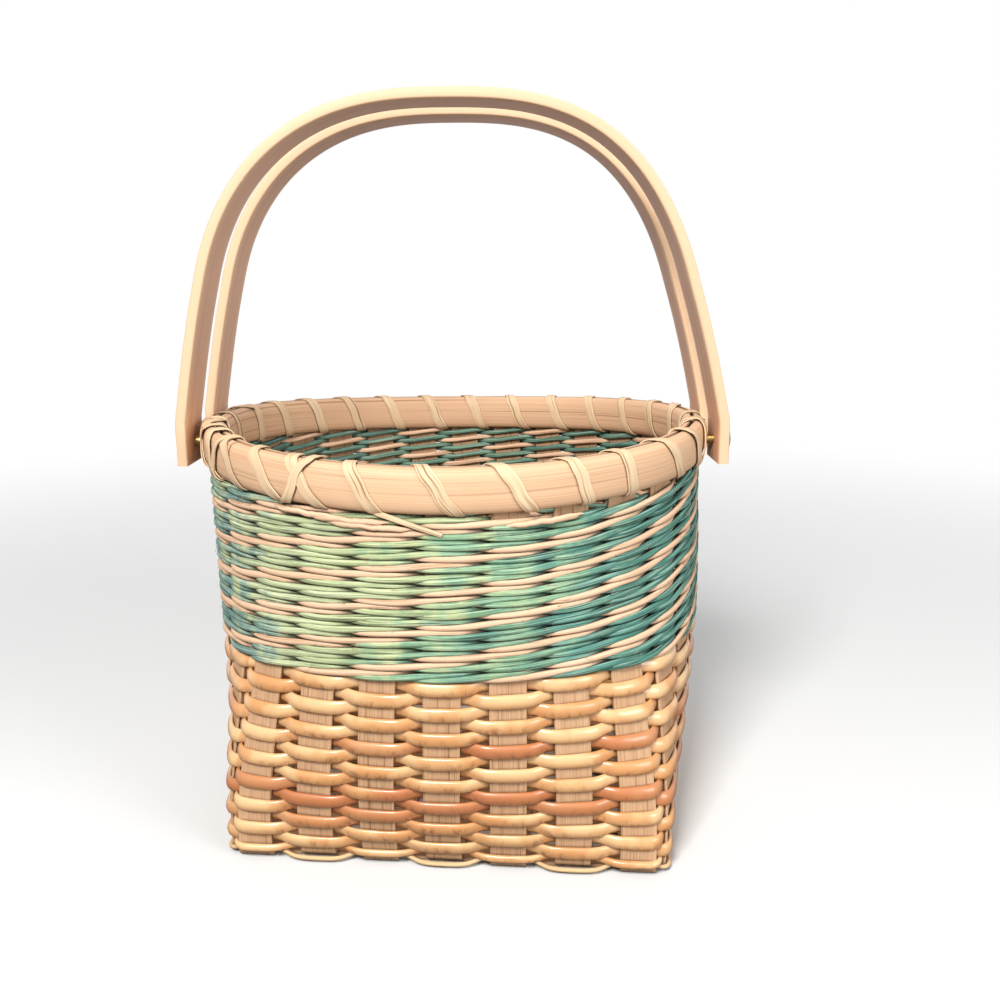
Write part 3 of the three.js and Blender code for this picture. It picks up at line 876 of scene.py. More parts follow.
@dataclass
class Strips:
    """The fourteen flat reed strips: stakes on both walls, plaited through the base."""

    wall: Wall
    fits: Fits
    drop: float = 1.2 * MM
    edge: float = 0.3 * MM
    rim_steps: int = 6
    wall_steps: int = 64
    base_steps: int = 150
    bend_steps: int = 7
    crease: float = 50.0
    uv_step: tuple[float, float] = (0.41, 0.057)

    def section(self) -> Array:
        """A strip's section with rounded edges.

        Returns:
            Points as distance across and through.
        """
        wide, thick, edge = self.fits.strip_width / 2, self.fits.strip_thickness / 2, self.edge
        upper = [(wide * 0.35, thick), (wide * 0.8, thick), (wide - edge, thick)]
        upper += [(wide - edge * 0.3, thick - edge * 0.3), (wide, thick - edge)]
        right = upper + [(x, -y) for x, y in reversed(upper)]
        return np.array(right + [(-x, y) for x, y in reversed(right)])

    def stake(self, index: int, foot: float) -> tuple[Array, Array, Array]:
        """The wall part of a strip, from the rim down.

        Args:
            index: the stake's number.
            foot: the height where the bend to the base starts.

        Returns:
            Middle points, outward normals and level directions across.
        """
        wall = self.wall
        low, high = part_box("rim_band_outer")
        top = np.linspace(high.z - wall.rise - self.drop, low.z, self.rim_steps)
        z = np.concatenate([top[:-1], np.linspace(low.z, foot, self.wall_steps)])
        places = np.full_like(z, index)
        raised = wall.fan(z, places)
        side, spot = divmod(index, wall.side_stakes)
        fanned = (spot - wall.middle) * wall.step * wall.roundness(raised)
        facing = side * math.pi / 2 + wall.turn * wall.left(raised) + fanned
        return wall.at(places, raised), polar(facing, 1, 0), polar(facing + math.pi / 2, 1, 0)

    def path(self, first: int, last: int, starts_low: bool) -> list[Array]:
        """A whole strip's line: down one wall, over and under in the base, and up the other.

        In the base the height swings between the low and the high level. The bends are quarter circles.

        Args:
            first: the stake that it starts as.
            last: the stake that it ends as.
            starts_low: whether it passes under the first crossing strip.

        Returns:
            Middle points, directions across and normals on the outer side.
        """
        wall, fits = self.wall, self.fits
        reach = wall.half - fits.bend
        side, spot = divmod(first, wall.side_stakes)
        facing = side * math.pi / 2 + wall.turn
        way, across = polar(facing, 1, 0), polar(facing + math.pi / 2, 1, 0)
        line = across * (spot - wall.middle) * wall.pitch + np.array([wall.shift, 0, 0])
        distance = np.linspace(reach, -reach, self.base_steps)
        crossing = np.clip(wall.middle - distance / wall.pitch, 0, 2 * wall.middle)
        swing = (-1 if starts_low else 1) * (fits.high - fits.low) / 2
        height = (fits.low + fits.high) / 2 + swing * weave(crossing)
        base = line + distance[:, None] * way + height[:, None] * UP
        under = unit(np.gradient(height, distance)[:, None] * way - UP)
        turn = np.linspace(math.pi / 2, 0, self.bend_steps)[1:-1, None]
        ends = []
        for index, end, sign in ((first, 0, 1), (last, -1, -1)):
            points, out, level = self.stake(index, height[end] + fits.bend)
            lift = height[end] + fits.bend * (1 - np.cos(turn))
            bend = line + sign * way * (reach + fits.bend * np.sin(turn)) + UP * lift
            bend_out = sign * way * np.sin(turn) - UP * np.cos(turn)
            levels = [level * sign, np.broadcast_to(across, bend.shape)]
            joined = [np.concatenate(pair) for pair in ([points, bend], levels, [out, bend_out])]
            ends.append([part[::sign] for part in joined])
        middle = [base, np.broadcast_to(across, base.shape), under]
        return [np.concatenate(parts) for parts in zip(ends[0], middle, ends[1])]

    def build(self, material: Material) -> None:
        """Makes the fourteen strips.

        Args:
            material: their material.
        """
        section = self.section()
        count = self.wall.side_stakes
        for i in range(count):
            lengthwise = (f"strip_lengthwise_{i + 1}", i, 3 * count - 1 - i, i % 2 == 0)
            crosswise = (f"strip_crosswise_{i + 1}", count + i, 4 * count - 1 - i, i % 2 == 1)
            for name, first, last, low in (lengthwise, crosswise):
                draft = Draft(f"reed_{name}")
                start = (self.uv_step[0] * first, self.uv_step[1] * first)
                draft.add(sweep(*self.path(first, last, low), section), start=start)
                place(draft.finish(material, self.crease), "basket", "flat_reed", name)


@dataclass
class CaneWall:
    """The lower wall: rows of half-round cane, over one stake and under the next, on a thin reed at the foot.

    A brown patch is a row's number, the place of its middle, its reach in stakes and its strength.
    """

    wall: Wall
    fits: Fits
    rows: int = 15
    width: float = 4.35 * MM
    thickness: float = 1.9 * MM
    lip: float = 0.35 * MM
    foot_cane: float = 2.6 * MM
    foot_reed: float = 1.8 * MM
    dip: float = 0.95 * MM
    sag: float = 0.4 * MM
    sway: float = 0.16 * MM
    inside: float = 0.3
    swell: float = 1.15
    swell_over: float = 0.05
    swell_wander: float = 0.03
    patch_edge: float = 0.5
    uv_step: tuple[float, float] = (0.9, 0.11)
    flat: float = 0.42
    foot_flat: float = 0.94
    foot_sides: int = 10
    face_steps: int = 11
    samples: int = 14
    crease: float = 70.0
    brown_rows: tuple[int, ...] = (5, 6, 10)
    patches: tuple[tuple[int, float, float, float], ...] = (
        (3, 0.6, 1.1, 0.55), (4, 1.9, 1.2, 0.8), (5, 0.9, 1.6, 1.0), (5, 4.4, 2.6, 0.9), (6, 0.0, 1.4, 0.85),
        (6, 4.0, 1.8, 1.0), (6, 6.6, 1.5, 0.8), (10, 2.0, 1.0, 0.6), (10, 4.2, 1.5, 1.0), (10, 7.0, 1.8, 0.8),
        (4, 12.0, 4.0, 0.9), (5, 16.0, 5.0, 1.0), (9, 20.0, 3.0, 0.8), (10, 13.5, 4.5, 0.9),
        (6, 22.0, 3.5, 1.0), (11, 25.0, 2.0, 0.5), (13, 10.0, 2.0, 0.5), (12, 18.5, 2.0, 0.6),
    )

    @property
    def places(self) -> Array:
        """The places along a row, once round the wall."""
        return np.arange(self.wall.stakes * self.samples) / self.samples - 0.5

    def profile(self, width: float) -> Array:
        """A half-round section: a flat back with rounded edges and an elliptical front, widest near the back.

        Args:
            width: the strand's width.

        Returns:
            Points as distance outwards and upwards from the strand's middle.
        """
        turn = np.linspace(-math.pi / 2, math.pi / 2, self.face_steps)
        back = -self.thickness / 2
        out = back + self.lip + (self.thickness - self.lip) * np.cos(turn)
        flat = np.array([[back, share * width] for share in (self.flat, 0.0, -self.flat)])
        return np.concatenate([np.stack([out, np.sin(turn) * width / 2], 1), flat])

    def swing(self, q: Array, even_outside: bool) -> Array:
        """1 outside a stake and -1 inside it."""
        return weave(q) if even_outside else -weave(q)

    def tone(self, row: int, q: Array) -> Array:
        """Where a row is brown: level in each patch, and eased out past its reach.

        Args:
            row: the row's number.
            q: places along it.

        Returns:
            From 0, honey, to 1, brown.
        """
        value = np.zeros_like(q)
        for number, middle, reach, strength in self.patches:
            if number == row:
                away = (q - middle + self.wall.stakes / 2) % self.wall.stakes - self.wall.stakes / 2
                value = np.maximum(value, strength * (1 - smooth((np.abs(away) - reach) / self.patch_edge)))
        return value

    def row(self, number: int, middle: float, width: float, name: str) -> Draft:
        """One row of cane. Even rows pass outside the even stakes.

        It sags and swells over a stake, less so behind one, and its sway fades out where the ring starts.

        Args:
            number: the row's number from the foot, which also seeds its unevenness.
            middle: the height of its middle.
            width: its width.
            name: the piece's name.

        Returns:
            The draft of the row.
        """
        q = self.places
        swing = self.swing(q, number % 2 == 0)
        share = np.where(swing > 0, 1, self.inside)
        fade = np.sin(math.pi * (q + 0.5) / self.wall.stakes) ** 0.5
        sway = self.sway * wander(q % self.wall.stakes, 40 + number, 9.0) * fade
        z = middle + sway - self.sag * swing * share
        depth = (self.fits.seat + self.thickness / 2) * swing
        swell = self.swell + self.swell_over * swing**2 * share
        swell += self.swell_wander * wander(q, 70 + number, 5.0)
        section = self.profile(width)[None] * np.stack([np.ones_like(swell), swell], 1)[:, None, :]
        draft = Draft(name)
        start = (self.uv_step[0] * number, self.uv_step[1] * number)
        draft.add(self.wall.strand(q, z, depth, section), tone=self.tone(number, q), ring=True, start=start)
        return draft

    def build(self, cane: Material, reed: Material) -> None:
        """Makes the narrow cane, the rows above it and the foot reed under it.

        Args:
            cane: the material of the rows.
            reed: the material of the foot reed.
        """
        nodes = ["foot_cane_row"] + [f"cane_row_{number:02d}" for number in range(1, self.rows + 1)]
        for number, node in enumerate(nodes):
            low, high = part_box(node)
            width, name = (self.width, f"cane_{node}") if number else (self.foot_cane, "cane_foot_row")
            draft = self.row(number, (low.z + high.z) / 2, width, name)
            slot = "brown_cane" if number in self.brown_rows else "cane"
            place(draft.finish(cane, self.crease), "basket", slot, node)
        self.foot_row(reed)

    def foot_row(self, material: Material) -> None:
        """The thin reed under the rows, which dips outside the odd stakes.

        Args:
            material: its material.
        """
        swing = self.swing(self.places, False)
        low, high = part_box("foot_row")
        z = (low.z + high.z) / 2 - self.dip * swing
        depth = (self.fits.seat + self.foot_reed / 2) * swing
        half = self.foot_reed / 2
        section = rounded_section(half, half * self.foot_flat, 2, self.foot_sides)
        draft = Draft("reed_foot_row")
        draft.add(self.wall.strand(self.places, z, depth, section), ring=True)
        place(draft.finish(material), "basket", "foot_reed", "foot_row")


class Rod(Enum):
    """The wale's three rods, by the order in which they take their strokes."""

    NATURAL = 0
    DYED_FIRST = 1
    DYED_SECOND = 2


@dataclass
class Wale:
    """The upper wall: three rods, each in front of two stakes and behind the third, twisted as they go round.

    A rod comes out under the other two, lies furthest out on its first stake, climbs and draws in on its
    second, and goes in over them. Behind the third stake it comes down again. Each round climbs onto the next
    within a few stakes at the right, where the wall turns out of view, and skips a step there, so that the
    pattern moves one stake to the right with each round.

    Depths and heights, in millimetres, have a line for each of a rod's three stakes, with the stake's first
    edge, its middle and its second edge. The top round comes down by bare round the bearing bare_at, to show
    the stakes. Low_dye moves the dye of the lowest rounds, in degrees, by bearing. Each of the ends has its
    first and last place along the wall, its distance under the wale's top and its slant in millimetres, as
    hair_lift and end_lift are.
    """

    wall: Wall
    fits: Fits
    rounds: int = 15
    rod: float = 1.8 * MM
    slack: float = 0.1 * MM
    tall: float = 2.05 * MM
    deep: float = 1.85 * MM
    fullness: float = 0.16
    bare: float = 2.9 * MM
    bare_at: float = 33.0
    bare_reach: float = 26.0
    low_rounds: float = 6.0
    low_dye: tuple[tuple[float, float], ...] = (
        (-120, 0), (-75, -16), (-42, -16), (-14, 15), (40, 12), (90, 0),
    )
    lift: float = 1.5 * MM
    unevenness: float = 0.3 * MM
    calm_rounds: float = 3.0
    moves_on: float = 0.09
    start_stake: int = 11
    climb: float = 2.5
    samples: int = 10
    sides: int = 8
    edge: float = 0.3
    shake: tuple[float, float] = (0.16, 0.14)
    thick_and_thin: float = 0.09
    dye_wander: float = 9.0
    hairs: int = 260
    hair_size: float = 0.1 * MM
    hair_run: float = 0.28
    hair_climb: float = 2.6 * MM
    hair_bend: float = 1.8 * MM
    hair_margin: float = 2.0 * MM
    hair_lift: tuple[float, float] = (0.3, 1.6)
    hair_turn: tuple[float, float] = (1.4, 2.8)
    hair_taper: float = 0.7
    face: float = 2.5 * MM
    end_lift: float = 2.1
    end_taper: float = 0.16
    end_tip: float = 0.12
    end_sway: float = 0.25 * MM
    ends: tuple[tuple[float, float, float, float], ...] = (
        (0.1, 1.45, 1.0, -0.4), (0.8, 2.2, 1.5, 0.3), (1.15, 2.55, 3.0, -0.5), (3.9, 5.15, 2.1, 1.0),
    )
    depths: tuple[tuple[float, ...], ...] = ((1.6, 2.05, 1.95), (1.8, 1.5, 1.35), (-1.4, -1.55, -1.4))
    heights: tuple[tuple[float, ...], ...] = ((-1.05, -0.95, -0.5), (0.35, 0.9, 1.1), (0.8, 0.0, -0.8))
    waves: tuple[int, ...] = (1, 3, 5, 9, 14)
    phases: tuple[float, ...] = (0.4, 2.1, 4.4, 1.2, 3.3)
    paces: tuple[int, ...] = (2, 4, 5, 7, 9)

    @property
    def section(self) -> Array:
        """A rod's section."""
        return rounded_section(self.deep / 2, self.tall / 2, 2.2, self.sides)[None]

    def level(self, g: Array) -> Array:
        """Rounds climbed, level but for the last few stakes of each round.

        Args:
            g: places counted from the wale's start.

        Returns:
            The rounds.
        """
        whole = np.floor(g / self.wall.stakes)
        into = g - whole * self.wall.stakes
        return whole + smooth((into - (self.wall.stakes - self.climb)) / self.climb)

    def drift(self, q: Array, level: Array) -> Array:
        """How far a round lies off its level place: waves round the wall that move on with each round.

        Args:
            q: places along the wall.
            level: rounds climbed there.

        Returns:
            Heights, which differ little between one round and the next.
        """
        swing = 2 * math.pi * q[:, None] * np.array(self.waves) / self.wall.stakes
        turns = swing + np.array(self.phases) + self.moves_on * np.array(self.paces) * level[:, None]
        ends = np.clip(np.minimum(level, self.rounds - 1 - level) / self.calm_rounds, 0, 1)
        return self.unevenness * ends * np.sin(turns).sum(1) / 2

    def strokes(self, rod: Rod, g: Array) -> list[Array]:
        """A rod's depth and its height in the round, from what it does at each stake, smoothed.

        Args:
            rod: which rod.
            g: places counted from the wale's start.

        Returns:
            Depths off the stakes' middle surface and heights off the round's middle.
        """
        stake = np.arange(math.floor(g.min()) - 1, math.ceil(g.max()) + 2)
        turn = np.floor(stake / self.wall.stakes)
        step = ((stake + turn - rod.value) % 3).astype(int)
        rng = np.random.default_rng(60 + rod.value)
        spots = (stake[:, None] + np.array([-self.edge, 0, self.edge])).ravel()
        shaken = rng.uniform(-1, 1, (2, len(stake), 1)) * np.array(self.shake)[:, None, None]
        depth = (np.array(self.depths)[step] + np.abs(shaken[0]) * np.sign(1.5 - step)[:, None]).ravel()
        height = (np.array(self.heights)[step] + shaken[1]).ravel()
        kernel = np.hanning(7)[1:-1] / np.hanning(7).sum()
        eased = [np.convolve(np.interp(g, spots, v), kernel, "same") * MM for v in (depth, height)]
        for values in eased:
            values[:3], values[-3:] = values[3], values[-4]
        return eased

    def dye(self, rod: Rod, g: Array, bearing: Array) -> Array:
        """A rod's place in the row of dyes: its bearing as a share of a turn, moved a little by the hand.

        Args:
            rod: which rod.
            g: places counted from the wale's start.
            bearing: their bearings in degrees.

        Returns:
            The tone, which goes on past 1 with each round.
        """
        moved = self.dye_wander * wander(g / self.wall.stakes, 51 + rod.value, 1.37)
        low = np.clip(1 - self.level(g) / self.low_rounds, 0, 1)
        moved += low * np.interp((bearing + 180) % 360 - 180, *zip(*self.low_dye))
        return (bearing + moved + 180) / 360

    def rod_draft(self, rod: Rod) -> Draft:
        """One rod over all the rounds.

        Args:
            rod: which of the three.

        Returns:
            The draft of the rod, whose tone is its place in the dye for the dyed rods.
        """
        wall, number = self.wall, rod.value
        end = wall.stakes * self.rounds - self.climb + 1
        g = np.arange(-0.4 + number, end + number * 0.5, 1 / self.samples)
        q, level = g + self.start_stake, self.level(g)
        depth, height = self.strokes(rod, g)
        pace = 2 * self.rod + self.slack + self.lift / self.rounds
        z = wall.wale_bottom + pace * (0.5 + level) + height + self.drift(q, level)
        bearing = np.degrees(np.unwrap(wall.bearing(q)))
        away = ((bearing - self.bare_at + 180) % 360 - 180) / self.bare_reach
        z = z - self.bare * wall.in_wale(z) / (1 + away**4)
        size = 1 + self.thick_and_thin * wander(g, 31 + number, 5.7)
        size = np.stack([size, size * (1 + self.fullness * np.sin(math.pi * g) ** 2)], 1)
        draft = Draft(f"wale_rod_{rod.name.lower()}")
        tone = 0.0 if rod is Rod.NATURAL else self.dye(rod, g, bearing)
        grid = wall.strand(q, z, depth, self.section * size[:, None, :])
        draft.add(grid, tone=tone, start=(number * 1.7, 0.0))
        return draft

    def loose_ends(self) -> Draft:
        """The reeds' own ends, which lie over the last rounds under the rim and taper towards both ends.

        Returns:
            The draft of all of them.
        """
        share = np.linspace(0, 1, 22)
        taper = np.clip(np.minimum(share, 1 - share) / self.end_taper, self.end_tip, 1) ** 0.6
        sway = self.end_sway * wander(share * 3, 90, 1.3)
        depth = (self.end_lift + taper) * MM
        draft = Draft("wale_ends")
        for start, end, below, tilt in self.ends:
            z = self.wall.wale_top - below * MM + tilt * MM * (share - 0.5) + sway
            q = start + (end - start) * share
            draft.add(self.wall.strand(q, z, depth, self.section * taper[:, None, None]), start=(below, 0.0))
        return draft

    def fuzz(self) -> Draft:
        """Stray fibres on the rods: three-sided hairs, each an arc that leaves a rod and bends back.

        Returns:
            The draft of all the hairs.
        """
        rng = np.random.default_rng(8)
        share = np.linspace(0, 1, 7)
        turn = np.arange(3) / 3 * 2 * math.pi
        ring = np.stack([np.cos(turn), np.sin(turn)], 1)
        section = ring[None] * (self.hair_size * (1 - self.hair_taper * share))[:, None, None]
        draft = Draft("wale_fuzz")
        low, high = self.wall.wale_bottom + self.hair_margin, self.wall.wale_top - self.hair_margin
        for _ in range(self.hairs):
            q, z = rng.uniform(0, self.wall.stakes), rng.uniform(low, high)
            reaches = (self.hair_run, self.hair_climb, self.hair_bend)
            run, climb, bend = (rng.uniform(-reach, reach) for reach in reaches)
            lift, turned = rng.uniform(*self.hair_lift) * MM, share * rng.uniform(*self.hair_turn)
            depth = self.face + lift * np.sin(turned)
            height = z + climb * share + bend * np.sin(math.pi * share)
            draft.add(self.wall.strand(q + run * share, height, depth, section), start=(q, 0.1))
        return draft

    def build(self, dyed: Material, natural: Material) -> None:
        """Makes the three rods, the stray fibres and the loose ends.

        Args:
            dyed: the material of the two dyed rods.
            natural: the material of the rest.
        """
        plain, coloured = (natural, "foot_reed"), (dyed, "dyed_reed")
        pieces = [(self.rod_draft(rod), plain if rod is Rod.NATURAL else coloured) for rod in Rod]
        for draft, (material, slot) in pieces + [(self.fuzz(), plain), (self.loose_ends(), plain)]:
            place(draft.finish(material), "basket", slot, "wale")


@dataclass
class Rim:
    """The rim: two bands that clamp the stake ends, and the strand that lashes them.

    Joints are the bearings where the outer and the inner band's ends meet. The lashing goes round the bands
    on a superellipse whose powers, across and up, are lash_round. Each of the extras, loops laid over the
    others, has its angles at the rim's top and under the outer band in degrees, its lift in millimetres and
    its width as a share of the strand's. A nudge is a wrap's number and how many degrees it moves at the
    outer band's top and at its foot. Knots and shares are parts of a wrap, a loop or the tail.
    """

    wall: Wall
    fits: Fits
    height: float = 15.0 * MM
    thickness: float = 3.7 * MM
    crown: float = 2.9
    joints: tuple[float, float] = (math.radians(-50.5), math.radians(20.0))
    joint_gap: float = 0.5 * MM
    crease: float = 60.0
    lash_width: float = 4.5 * MM
    lash_thickness: float = 0.6 * MM
    lash_lift: float = 0.12 * MM
    lash_round: tuple[float, float] = (3.4, 2.6)
    bolt_reach: float = 20.0 * MM
    top_share: float = 0.09
    outer_share: float = 0.55
    top_share_at_bolt: float = 0.5
    turn_steps: int = 44
    sunk: float = 0.9 * MM
    extra_start: float = math.radians(150)
    extra_sweep: float = math.radians(245)
    uneven: float = 0.035
    trimmed: float = 0.015
    tail_angles: tuple[float, float] = (-14.5, 14.0)
    tail_drop: float = 7.6 * MM
    tail_widths: tuple[float, float] = (0.44, 0.32)
    tail_start: float = 1.2 * MM
    tail_off: float = 2.8 * MM
    tail_arc: float = 0.7 * MM
    tail_tuck: float = 2.2 * MM
    tuck_shares: tuple[float, float] = (0.12, 0.08)
    loop_shares: tuple[float, float] = (0.35, 0.9)
    face_steps: int = 17
    band_steps: int = 300
    knots: tuple[float, ...] = (0, 0.1, 0.38, 0.46, 0.54, 0.62, 0.9, 1)
    nudge_knots: tuple[float, ...] = (0, 0.42, 0.6, 0.94)
    extras: tuple[tuple[float, float, float, float], ...] = (
        (-27.0, -33.5, 0.35, 0.75), (-55.0, -61.0, 0.4, 0.8), (-63.0, -58.0, 0.6, 0.7),
        (-70.0, -76.0, 0.4, 0.8), (-80.0, -72.0, 0.6, 0.6), (62.0, 70.0, 0.4, 0.7), (76.0, 71.0, 0.5, 0.7),
    )
    nudges: tuple[tuple[int, float, float], ...] = (
        (23, -2.0, -2.0), (24, -3.0, -2.4), (25, -4.9, -5.1), (26, -4.7, -6.4), (27, -3.2, -3.9),
        (0, -1.4, -2.3), (1, 0.0, -3.4), (2, -0.8, -5.5),
    )

    @property
    def bottom(self) -> float:
        """The bands' lower edge at the front."""
        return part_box("rim_band_outer")[0].z

    @property
    def middle(self) -> float:
        """The height of the bands' middle at the front."""
        return self.bottom + self.height / 2

    def raised(self, angle: Array) -> Array:
        """How much higher the rim stands at an angle."""
        return self.wall.rise * np.sin(angle) ** 2

    def band(self, name: str, side: int, start: float, material: Material) -> None:
        """One band: a strip with a flat back and a crowned face, bent round with its ends butted.

        The face is half a superellipse, x = t cos^(2/n), z = h sin^(2/n).

        Args:
            name: the frame's node.
            side: 1 for the band outside the stakes, -1 for the one inside.
            start: the bearing of its joint.
            material: its material.
        """
        seat = self.fits.seat
        turn = np.linspace(-math.pi / 2, math.pi / 2, self.face_steps)
        face = self.thickness * bent(np.cos(turn), 2 / self.crown)
        back = np.linspace(self.height / 2, -self.height / 2, 5)[1:-1]
        out = side * (seat + np.concatenate([face, np.zeros(3)]))
        z = np.concatenate([bent(np.sin(turn), 2 / self.crown) * self.height / 2, back])
        gap = self.joint_gap / self.wall.rim
        angle = np.linspace(start + gap, start + 2 * math.pi - gap, self.band_steps)[:, None]
        degrees = np.degrees(angle[:, 0])
        uneven = 1 + self.uneven * wander(degrees, 5 + side, 120.0)[:, None]
        lower = 1 - self.trimmed * np.abs(wander(degrees, 8 + side, 90.0))[:, None]
        radius = self.wall.rim + out * np.where(np.abs(out) > seat * 1.5, uneven, 1)
        grid = polar(angle, radius, self.middle + z * lower + self.raised(angle))
        draft = Draft(f"band_{name}")
        draft.add(grid, start=(0.3 * side, 0.02))
        place(draft.finish(material, self.crease), "basket", "rim_band", name)

    def round_bands(self, cycle: Array, lift: float = 0.0, sunk: Array | float = 0.0) -> tuple[Array, Array]:
        """Where a strand that goes round both bands runs.

        Args:
            cycle: its angle in the rim's section, from outside towards the top.
            lift: how far it lies on top of the lashing.
            sunk: how far it is drawn in, up and down only.

        Returns:
            Depths off the wall's middle, and heights off the rim's middle.
        """
        own = self.lash_lift + self.lash_thickness / 2 + lift
        wide, tall = self.fits.seat + self.thickness + own, self.height / 2 + own - sunk
        across, up = self.lash_round
        return wide * bent(np.cos(cycle), 2 / across), tall * bent(np.sin(cycle), 2 / up)

    def lash_path(self) -> tuple[Array, Array, Array]:
        """The lashing's line: round both bands once for each stake, under them in the gaps between stakes.

        The angle advances mostly on the way down the outer band and up the inner one, and at a bolt mostly
        across the top. It is eased over five points.

        Returns:
            Angles, depths off the wall's middle, and heights off the rim's middle.
        """
        stakes = self.wall.stakes
        sides = [(s * self.wall.rim, y) for s in (1, -1) for y in (self.bolt_reach, -self.bolt_reach)]
        bolts = np.degrees([math.atan2(x, y) for x, y in sides]) % 360
        psi = np.arange(self.turn_steps) / self.turn_steps
        depth, height = self.round_bands(-math.pi / 2 - 2 * math.pi * psi)
        tops, feet = np.zeros(stakes), np.zeros(stakes)
        for wrap, top, foot in self.nudges:
            tops[wrap], feet[wrap] = top, foot
        step = 360 / stakes
        angles = []
        for wrap in range(stakes):
            begin = (wrap + 0.5) * step
            at_bolt = bool((((bolts - begin) % 360) < step).any())
            top = self.top_share_at_bolt if at_bolt else self.top_share
            outer = (1 - top) / 2 if at_bolt else self.outer_share
            inner = 1 - top - outer
            shares = [0, 0.02, inner * 0.95, inner, inner + top, inner + top + 0.05 * outer, 0.98, 1]
            nudge = [feet[wrap - 1], tops[wrap], tops[wrap], feet[wrap]]
            moves = np.interp(psi, self.nudge_knots, nudge)
            angles.append(begin + step * np.interp(psi, self.knots, shares) + moves)
        angle = np.radians(np.concatenate(angles))
        lapped = np.concatenate([angle[-4:] - 2 * math.pi, angle, angle[:4] + 2 * math.pi])
        eased = np.convolve(lapped, np.ones(5) / 5, "same")[4:-4]
        return eased, np.tile(depth, stakes), np.tile(height, stakes)

    def ribbon(self, points: Array, normals: Array, width: Array, ring: bool = False) -> Array:
        """A flat strand along a line of points, square to its normals.

        Args:
            points: the line's points.
            normals: the way that the flat side faces at each.
            width: the width at each.
            ring: whether the line closes on itself.

        Returns:
            A grid for Draft.add.
        """
        lapped = np.roll(points, -1, 0) - np.roll(points, 1, 0)
        ahead = unit(lapped if ring else np.gradient(points, axis=0))
        across = unit(np.cross(normals, ahead))
        section = rounded_section(0.5, self.lash_thickness / 2, 4, 12)
        return sweep(points, across * width[:, None], unit(np.cross(ahead, across)), section)

    def on_rim(self, angle: Array, depth: Array, height: Array) -> Array:
        """Points by their angle, depth off the wall's middle and height off the rim's middle."""
        return polar(angle, self.wall.rim + depth, self.middle + height + self.raised(angle))

    def lashing(self, material: Material) -> None:
        """The strand that lashes the rim.

        Args:
            material: its material.
        """
        angle, depth, height = self.lash_path()
        wide, tall = depth.max(), height.max()
        across, up = self.lash_round
        out, level = bent(depth / wide, across - 1) / wide, bent(height / tall, up - 1) / tall
        width = self.lash_width * (1 + 0.07 * wander(np.arange(len(angle)) / self.turn_steps, 3, 2.7))
        draft = Draft("lash_strand")
        points, normals = self.on_rim(angle, depth, height), unit(polar(angle, out, level))
        draft.add(self.ribbon(points, normals, width, True), ring=True)
        for number, (top, foot, lift, share) in enumerate(self.extras):
            self.loop(draft, number, (top, foot), lift * MM, share)
        self.tail(draft)
        place(draft.finish(material, self.crease), "basket", "lashing", "rim_lashing")

    def loop(self, draft: Draft, number: int, angles: tuple[float, float], lift: float, share: float) -> None:
        """A loop laid over the others, from inside the rim over its top and down to its foot.

        Args:
            draft: where it goes.
            number: sets its unevenness.
            angles: its angles at the rim's top and under the outer band, in degrees.
            lift: how far it lies on top of the strand.
            share: its width, as a part of the strand's.
        """
        run = np.linspace(0, 1, 40)
        cycle = self.extra_start - self.extra_sweep * run
        first, last = self.tuck_shares
        sunk = self.sunk * (1 - smooth(run / first)) + self.sunk * smooth((run - (1 - last)) / last)
        depth, height = self.round_bands(cycle, lift, sunk)
        angle = np.radians(np.interp(run, self.loop_shares, angles))
        normals = unit(polar(angle, bent(np.cos(cycle), 1.4), bent(np.sin(cycle), 1.2)))
        width = self.lash_width * share * (1 + 0.1 * wander(run, 90 + number, 0.9))
        grid = self.ribbon(self.on_rim(angle, depth, height), normals, width)
        draft.add(grid, start=(2.4 + number, 0.3))

    def tail(self, draft: Draft) -> None:
        """The strand's loose end, which comes out under the band and slants over the wale.

        Args:
            draft: where it goes.
        """
        share = np.linspace(0, 1, 24)
        begin, reach = self.tail_angles
        angle = np.radians(begin + reach * share)
        z = self.bottom + self.tail_start - self.tail_drop * share**1.15
        off = self.tail_off + self.lash_thickness / 2 + self.tail_arc * np.sin(math.pi * share)
        radius = self.wall.rim + off - self.tail_tuck * (1 - smooth(share / self.tuck_shares[0]))
        width = self.lash_width * np.linspace(*self.tail_widths, len(share))
        draft.add(self.ribbon(polar(angle, radius, z), polar(angle, 1, 0), width), start=(2.0, 0.3))

    def build(self, band: Material, lash: Material) -> None:
        """Makes both bands and the lashing.

        Args:
            band: the bands' material.
            lash: the strand's material.
        """
        for name, side, joint in zip(("outer", "inner"), (1, -1), self.joints):
            self.band(f"rim_band_{name}", side, joint, band)
        self.lashing(lash)


class Hand(Enum):
    """The two handles: the word in their names, and the side of the basket's middle that they stand on."""

    FRONT = ("front", -1)
    BACK = ("back", 1)


